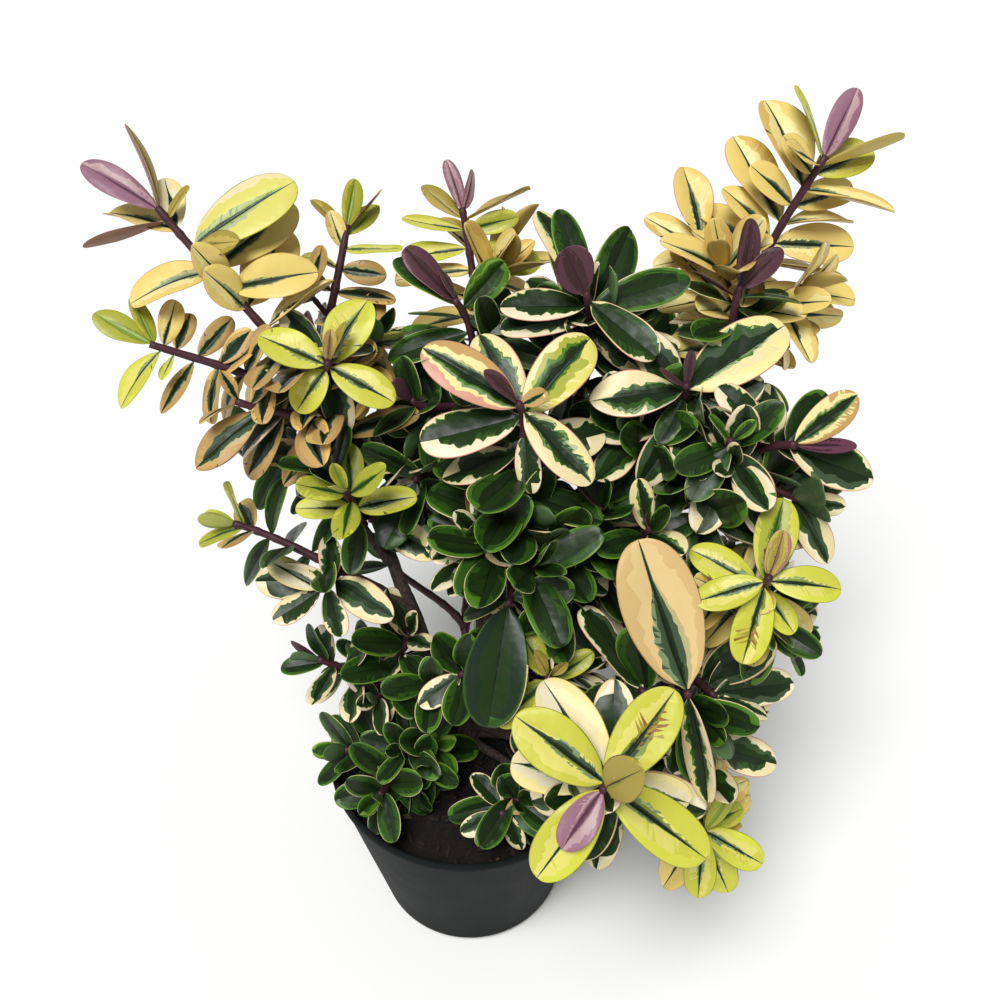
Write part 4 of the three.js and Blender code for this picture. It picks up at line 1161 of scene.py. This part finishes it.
def leafFaces(rows, columns, backs):
    # triangles of the closed blade: upper face, then the lower one on fewer columns. The upper
    # ones are split forward and outward, as the side veins run
    inner = rows - 1
    foot, tip = 0, 1

    def top(row, column):
        return foot if row == 0 else tip if row == rows else 2 + (row - 1) * columns + column

    def back(row, column):
        if row in (0, rows) or column in (0, backs - 1):
            return top(row, 0 if column == 0 else columns - 1)
        return 2 + inner * columns + (row - 1) * (backs - 2) + column - 1

    upper, lower = [], []
    for row in range(rows):
        for column in range(columns - 1):
            a, b = top(row, column), top(row, column + 1)
            c, d = top(row + 1, column + 1), top(row + 1, column)
            halves = ((a, b, d), (b, c, d)) if column < columns // 2 else ((a, b, c), (a, c, d))
            upper.append([t for t in halves if len(set(t)) == 3])
        for column in range(backs - 1):
            a, b = back(row, column), back(row, column + 1)
            c, d = back(row + 1, column + 1), back(row + 1, column)
            lower.append([t for t in ((a, c, b), (a, d, c)) if len(set(t)) == 3])
    return upper, lower


def leafShape(pattern, leaf):
    # points of one leaf in the plant's frame, from the grid on its flat outline. Its rows slant
    # forward from the midrib to the edge, as the side veins do
    rows, columns = pattern["shares"][1:-1, None], pattern["columns"][1:-1]
    length, width = leaf["length"], leaf["width"]
    backs = np.repeat(np.array([leafGrid["backs"]]), len(rows), 0)
    cup = leafForm["cup"]
    points = []
    for part, sign in ((columns, 1), (backs, -1)):
        share = rows + 4 * leafGrid["slant"] * np.abs(part) * rows * (1 - rows)
        outline = halfWidth(share)
        out = part * outline * width / 2
        thick = sign * leafForm["thick"] * length * np.sqrt(np.clip(1 - part ** 2, 0, 1)) * outline ** 0.5
        groove = -leafForm["groove"] * length * np.exp(-(part / leafForm["grooveWidth"]) ** 2)
        groove = groove * np.sin(math.pi * share) ** 0.5
        fold = leaf["fold"] * np.abs(out) ** cup / (width / 2) ** (cup - 1)
        ripple = np.sin(share * leafForm["waves"] + leaf["phase"])
        wave = leaf["wave"] * width * part * np.abs(part) * ripple
        bend = -leaf["droop"] * length * share ** 2 + leaf["belly"] * length * np.sin(math.pi * share)
        up = thick + groove + fold + wave + bend
        points.append(np.stack([share * length, out, up], -1).reshape(-1, 3))
    ends = np.array([[0, 0, 0], [length, 0, -leaf["droop"] * length]])
    local = np.concatenate([ends, *points])
    across = np.cross(leaf["axis"], leaf["face"])
    frameAxes = np.stack([leaf["axis"], across, leaf["face"]])
    return (leaf["foot"] + leaf["axis"] * leafForm["foot"] + local @ frameAxes) * millimetre


pieceLimit = 180000  # triangles
leafSeed = 404


def makeLeaves():
    patterns, gathered = {}, {}
    draw = seeded(leafSeed)
    for mass in grown.values():
        for leaf in mass["leaves"]:
            key = (leaf["kind"], int(draw() * leafGrid["variants"]), leafGrid["rows"][leaf["rank"]])
            if key not in patterns:
                patterns[key] = leafPattern(*key)
            slim = leaf["slim"] or leafKinds[leaf["kind"]]["slim"]
            leaf["width"] = leaf["length"] * slim * (1 + spread(draw, leafForm["strayWidth"]))
            leaf["fold"] = leafForm["fold"] + spread(draw, leafForm["strayFold"])
            if leaf["kind"] == "butter":
                leaf["fold"] += leafForm["butterFold"]
            leaf["wave"], leaf["phase"] = spread(draw, leafForm["strayWave"]), draw() * 6.28
            leaf["belly"] = spread(draw, leafForm["strayBelly"])
            piece = leafKinds[leaf["kind"]]["piece"]
            gathered.setdefault(piece, []).append((key, leaf))
    faceSets = {}
    for piece, members in gathered.items():
        points, triangles, shadeOf, start = [], [], [], 0
        shades, part = [], 1
        for key, leaf in members:
            pattern = patterns[key]
            rows, columns = key[2], pattern["columns"].shape[1]
            if rows not in faceSets:
                faceSets[rows] = leafFaces(rows, columns, len(leafGrid["backs"]) + 2)
            upper, lower = faceSets[rows]
            for shade in pattern["shades"]:
                if shade not in shades:
                    shades.append(shade)
            slots = [shades.index(s) for s in pattern["shades"]]
            points.append(leafShape(pattern, leaf))
            for group, pair in zip(upper, pattern["faceShade"]):
                for triangle, shade in zip(group, pair):
                    triangles.append([start + i for i in triangle])
                    shadeOf.append(slots[shade])
            for group in lower:
                for triangle in group:
                    triangles.append([start + i for i in triangle])
                    shadeOf.append(slots[pattern["under"]])
            start += len(points[-1])
            if len(triangles) > pieceLimit or leaf is members[-1][1]:
                arrays = (np.concatenate(points), np.array(triangles), np.array(shadeOf))
                joinLeaves(piece, part, *arrays, shades)
                points, triangles, shadeOf, start = [], [], [], 0
                part += 1


def joinLeaves(kind, part, points, triangles, shadeOf, shades):
    name = kind + str(part)
    mesh = bpy.data.meshes.new(name)
    mesh.vertices.add(len(points))
    mesh.vertices.foreach_set("co", points.astype(np.float32).ravel())
    mesh.loops.add(3 * len(triangles))
    mesh.loops.foreach_set("vertex_index", triangles.astype(np.int32).ravel())
    mesh.polygons.add(len(triangles))
    mesh.polygons.foreach_set("loop_start", np.arange(0, 3 * len(triangles), 3, dtype=np.int32))
    mesh.polygons.foreach_set("material_index", shadeOf.astype(np.int32))
    mesh.update(calc_edges=True)
    mesh.shade_smooth()
    for shade in shades:
        mesh.materials.append(leafMaterial(shade))
    mesh.validate()
    piece = addObject(name, mesh)
    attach(piece, "root")
    slots = {"limeLeaves": "leaf_lime", "butterLeaves": "leaf_butter", "edgedLeaves": "leaf_edged",
             "greenLeaves": "leaf_green"}
    if kind in slots:
        tint = slots[kind].split("_")[1]
        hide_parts(*["mass_" + m for m, row in masses.items() if row[0] == tint])
    print(name, len(triangles), "triangles")


makeLeaves()

# pot and compost


def potMaterial():
    # Injection-moulded polypropylene in charcoal: matt, with the faintest cloudy grain.
    material, shader = startMaterial("mouldedPlastic", "#171a1a", 0.65, 1.3)
    shader.inputs["Specular IOR Level"].default_value = 0.1
    cloud = addNoise(material, 60.0, 3.0)
    grain = addNoise(material, 1800.0, 2.0)
    addTones(material, shader, cloud, "#151818", "#1c2020", 0.3, 0.7)
    addGloss(material, shader, cloud, 0.5, 0.68)
    addBump(material, shader, grain, 0.35, 0.0001)
    return material


# The pot's section, in steps out and up from four corners: the foot of the round under its wall,
# the rim's outer and inner top edge, and where the wall's inside meets the floor.
potForm = {
    "hollow": 1.2,  # how far the middle of the base stands off the ground
    "foot": ((-4, 1.2), (-2.5, 0), (0, 0)),
    "roundSteps": 5,
    "outerRim": ((-1.0, -4.0), (0, -3.0), (0, -0.7), (-0.3, -0.1), (-0.9, 0)),
    "innerRim": ((0.5, 0), (0, -0.6), (-0.5, -8)),
    "floor": ((0, 2), (-3, 0)),
    "sides": 96,
}


def makePot():
    bend, inside = pot["baseRound"], pot["base"] - pot["wall"]
    flat = pot["base"] - bend
    profile = [(0, potForm["hollow"])] + [(flat + out, up) for out, up in potForm["foot"]]
    for step in range(1, potForm["roundSteps"] + 1):
        a = math.radians(90 * step / potForm["roundSteps"])
        profile.append((flat + bend * math.sin(a), bend - bend * math.cos(a)))
    for edge, out, up in (("outerRim", pot["rim"], pot["height"]),
                          ("innerRim", pot["rim"] - pot["lip"], pot["height"]),
                          ("floor", inside, pot["floor"])):
        profile += [(out + more, up + rise) for more, rise in potForm[edge]]
    profile.append((0, pot["floor"]))
    bm = bmesh.new()
    verts = [bm.verts.new(Vector((r, 0, z)) * millimetre) for r, z in profile]
    edges = [bm.edges.new(pair) for pair in zip(verts, verts[1:])]
    bmesh.ops.spin(bm, geom=verts + edges, axis=(0, 0, 1), cent=(0, 0, 0), dvec=(0, 0, 0),
                   angle=2 * math.pi, steps=potForm["sides"], use_merge=True, use_duplicate=False)
    bmesh.ops.remove_doubles(bm, verts=bm.verts, dist=mergeReach)
    bmesh.ops.recalc_face_normals(bm, faces=bm.faces)
    piece = finishPiece(bm, "potShell", [potMaterial()])
    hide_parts("pot")


makePot()
print("pot made")

compost = {
    "rings": 40, "sides": 120,
    "relief": 1.6, "lump": 5.0, "octaves": 3,
    "level": 30, "slope": 30,  # level out to here, then sloping down over that width
    "sunk": 1.0,
    "mound": 2.2, "moundReach": 14,  # round the stem
    "clear": 1.3,  # from the pot's wall
    "depth": 60, "taper": 0.9,  # its lower face: that high over the ground, and that much narrower
}


def compostMaterial():
    # Moist peat-free compost: almost black, dull, with brown bark fines.
    material, shader = startMaterial("moistCompost", "#17110d", 0.95)
    crumbs = addNoise(material, 700.0, 5.0, Roughness=0.7)
    addTones(material, shader, crumbs, "#080606", "#1f1711", 0.4, 0.75)
    addBump(material, shader, crumbs, 0.9, 0.001)
    return material


def soilHeight(x, y):
    out = math.hypot(x, y)
    fall = max(0, (out - compost["level"]) / compost["slope"])
    level = soil["crown"] - (soil["crown"] - soil["edge"]) * fall
    lumps = noise.fractal(Vector((x, y, 0)) / compost["lump"], 1.0, 2.0, compost["octaves"])
    mound = compost["mound"] * math.exp(-(out / compost["moundReach"]) ** 2)
    return level - compost["sunk"] + lumps * compost["relief"] + mound


def makeCompost():
    edge = pot["rim"] - pot["lip"] - compost["clear"]
    bm = bmesh.new()
    bmesh.ops.create_circle(bm, cap_ends=True, cap_tris=True, radius=edge * millimetre,
                            segments=compost["sides"])
    spokes = [e for e in bm.edges if not e.is_boundary]
    bmesh.ops.subdivide_edges(bm, edges=spokes, cuts=compost["rings"], use_grid_fill=False)
    for vert in bm.verts:
        x, y = vert.co.x / millimetre, vert.co.y / millimetre
        vert.co.z = soilHeight(x, y) * millimetre
    rims = [e for e in bm.edges if e.is_boundary]
    wall = bmesh.ops.extrude_edge_only(bm, edges=rims)
    low = [v for v in wall["geom"] if isinstance(v, bmesh.types.BMVert)]
    for vert in low:
        vert.co.x *= compost["taper"]
        vert.co.y *= compost["taper"]
        vert.co.z = compost["depth"] * millimetre
    bmesh.ops.contextual_create(bm, geom=[e for e in bm.edges if e.is_boundary])
    bmesh.ops.recalc_face_normals(bm, faces=bm.faces)
    piece = finishPiece(bm, "compost", [compostMaterial()])
    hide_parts("soil")


makeCompost()

chips = {
    "count": 320, "seed": 77,
    "size": ((2.5, 7.0), (0.8, 2.4), (0.4, 1.0)),  # least and most of length, width and thickness
    "sink": 0.2,
    "clear": 8,  # from the pot's rim
    "tilt": 0.3, "rough": 0.25,
    "paleEvery": 7,
}


def chipMaterial(name, dark, pale):
    # Shreds of composted bark: rough and dull, streaked along the grain.
    material, shader = startMaterial(name, dark, 0.9)
    grain = addNoise(material, 1200.0, 3.0)
    addTones(material, shader, grain, dark, pale)
    addBump(material, shader, grain, 0.7, 0.0003)
    return material


def makeChips():
    draw = seeded(chips["seed"])
    bm = bmesh.new()
    rough = chips["rough"] * millimetre
    for index in range(chips["count"]):
        around, out = draw() * 2 * math.pi, math.sqrt(draw()) * (pot["rim"] - chips["clear"])
        x, y = out * math.cos(around), out * math.sin(around)
        sizes = [least + draw() * (most - least) for least, most in chips["size"]]
        height = soilHeight(x, y) + sizes[2] / 2 - chips["sink"]
        place = Matrix.Translation(Vector((x, y, height)) * millimetre)
        tilts = (spread(draw, chips["tilt"]), spread(draw, chips["tilt"]), draw() * 6.28)
        turn = Euler(tilts).to_matrix().to_4x4()
        size = Matrix.Diagonal((*(n * millimetre for n in sizes), 1))
        made = bmesh.ops.create_cube(bm, size=1, matrix=place @ turn @ size)
        for vert in made["verts"]:
            vert.co += Vector([spread(draw, rough) for _ in range(3)])
        for face in {f for v in made["verts"] for f in v.link_faces}:
            face.material_index = int(index % chips["paleEvery"] == 0)
    materials = [chipMaterial("barkChip", "#120c09", "#2e2119"),
                 chipMaterial("paleFibre", "#392d23", "#5f4e39")]
    piece = finishPiece(bm, "compostChips", materials)
    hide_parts("soil")


makeChips()
print("compost made")

# studio: pale floor and soft light


studio = {
    "floor": 12.0,  # half the floor's side, in metres
    "world": 0.3,
    "sun": 2.95,
    "sunSize": 30,  # degrees across: a wide source, for soft shadows
    "sunFrom": (-0.25, -0.45, 1.0),
}


def makeStudio():
    bm = bmesh.new()
    bmesh.ops.create_grid(bm, x_segments=1, y_segments=1, size=studio["floor"])
    mesh = bpy.data.meshes.new("studioFloor")
    bm.to_mesh(mesh)
    bm.free()
    mesh.materials.append(startMaterial("paperBackdrop", "#f7f7f5", 0.9)[0])
    floor = addObject("studioFloor", mesh)
    data = bpy.data.lights.new("softbox", "SUN")
    data.energy = studio["sun"]
    data.angle = math.radians(studio["sunSize"])
    lamp = addObject("softbox", data)
    lamp.rotation_euler = (-Vector(studio["sunFrom"])).to_track_quat("-Z", "Y").to_euler()
    world = bpy.data.worlds.new("studio")
    world.use_nodes = True
    world.node_tree.nodes["Background"].inputs["Color"].default_value = (1, 1, 1, 1)
    world.node_tree.nodes["Background"].inputs["Strength"].default_value = studio["world"]
    bpy.context.scene.world = world
    bpy.context.scene.view_settings.view_transform = "Standard"


makeStudio()
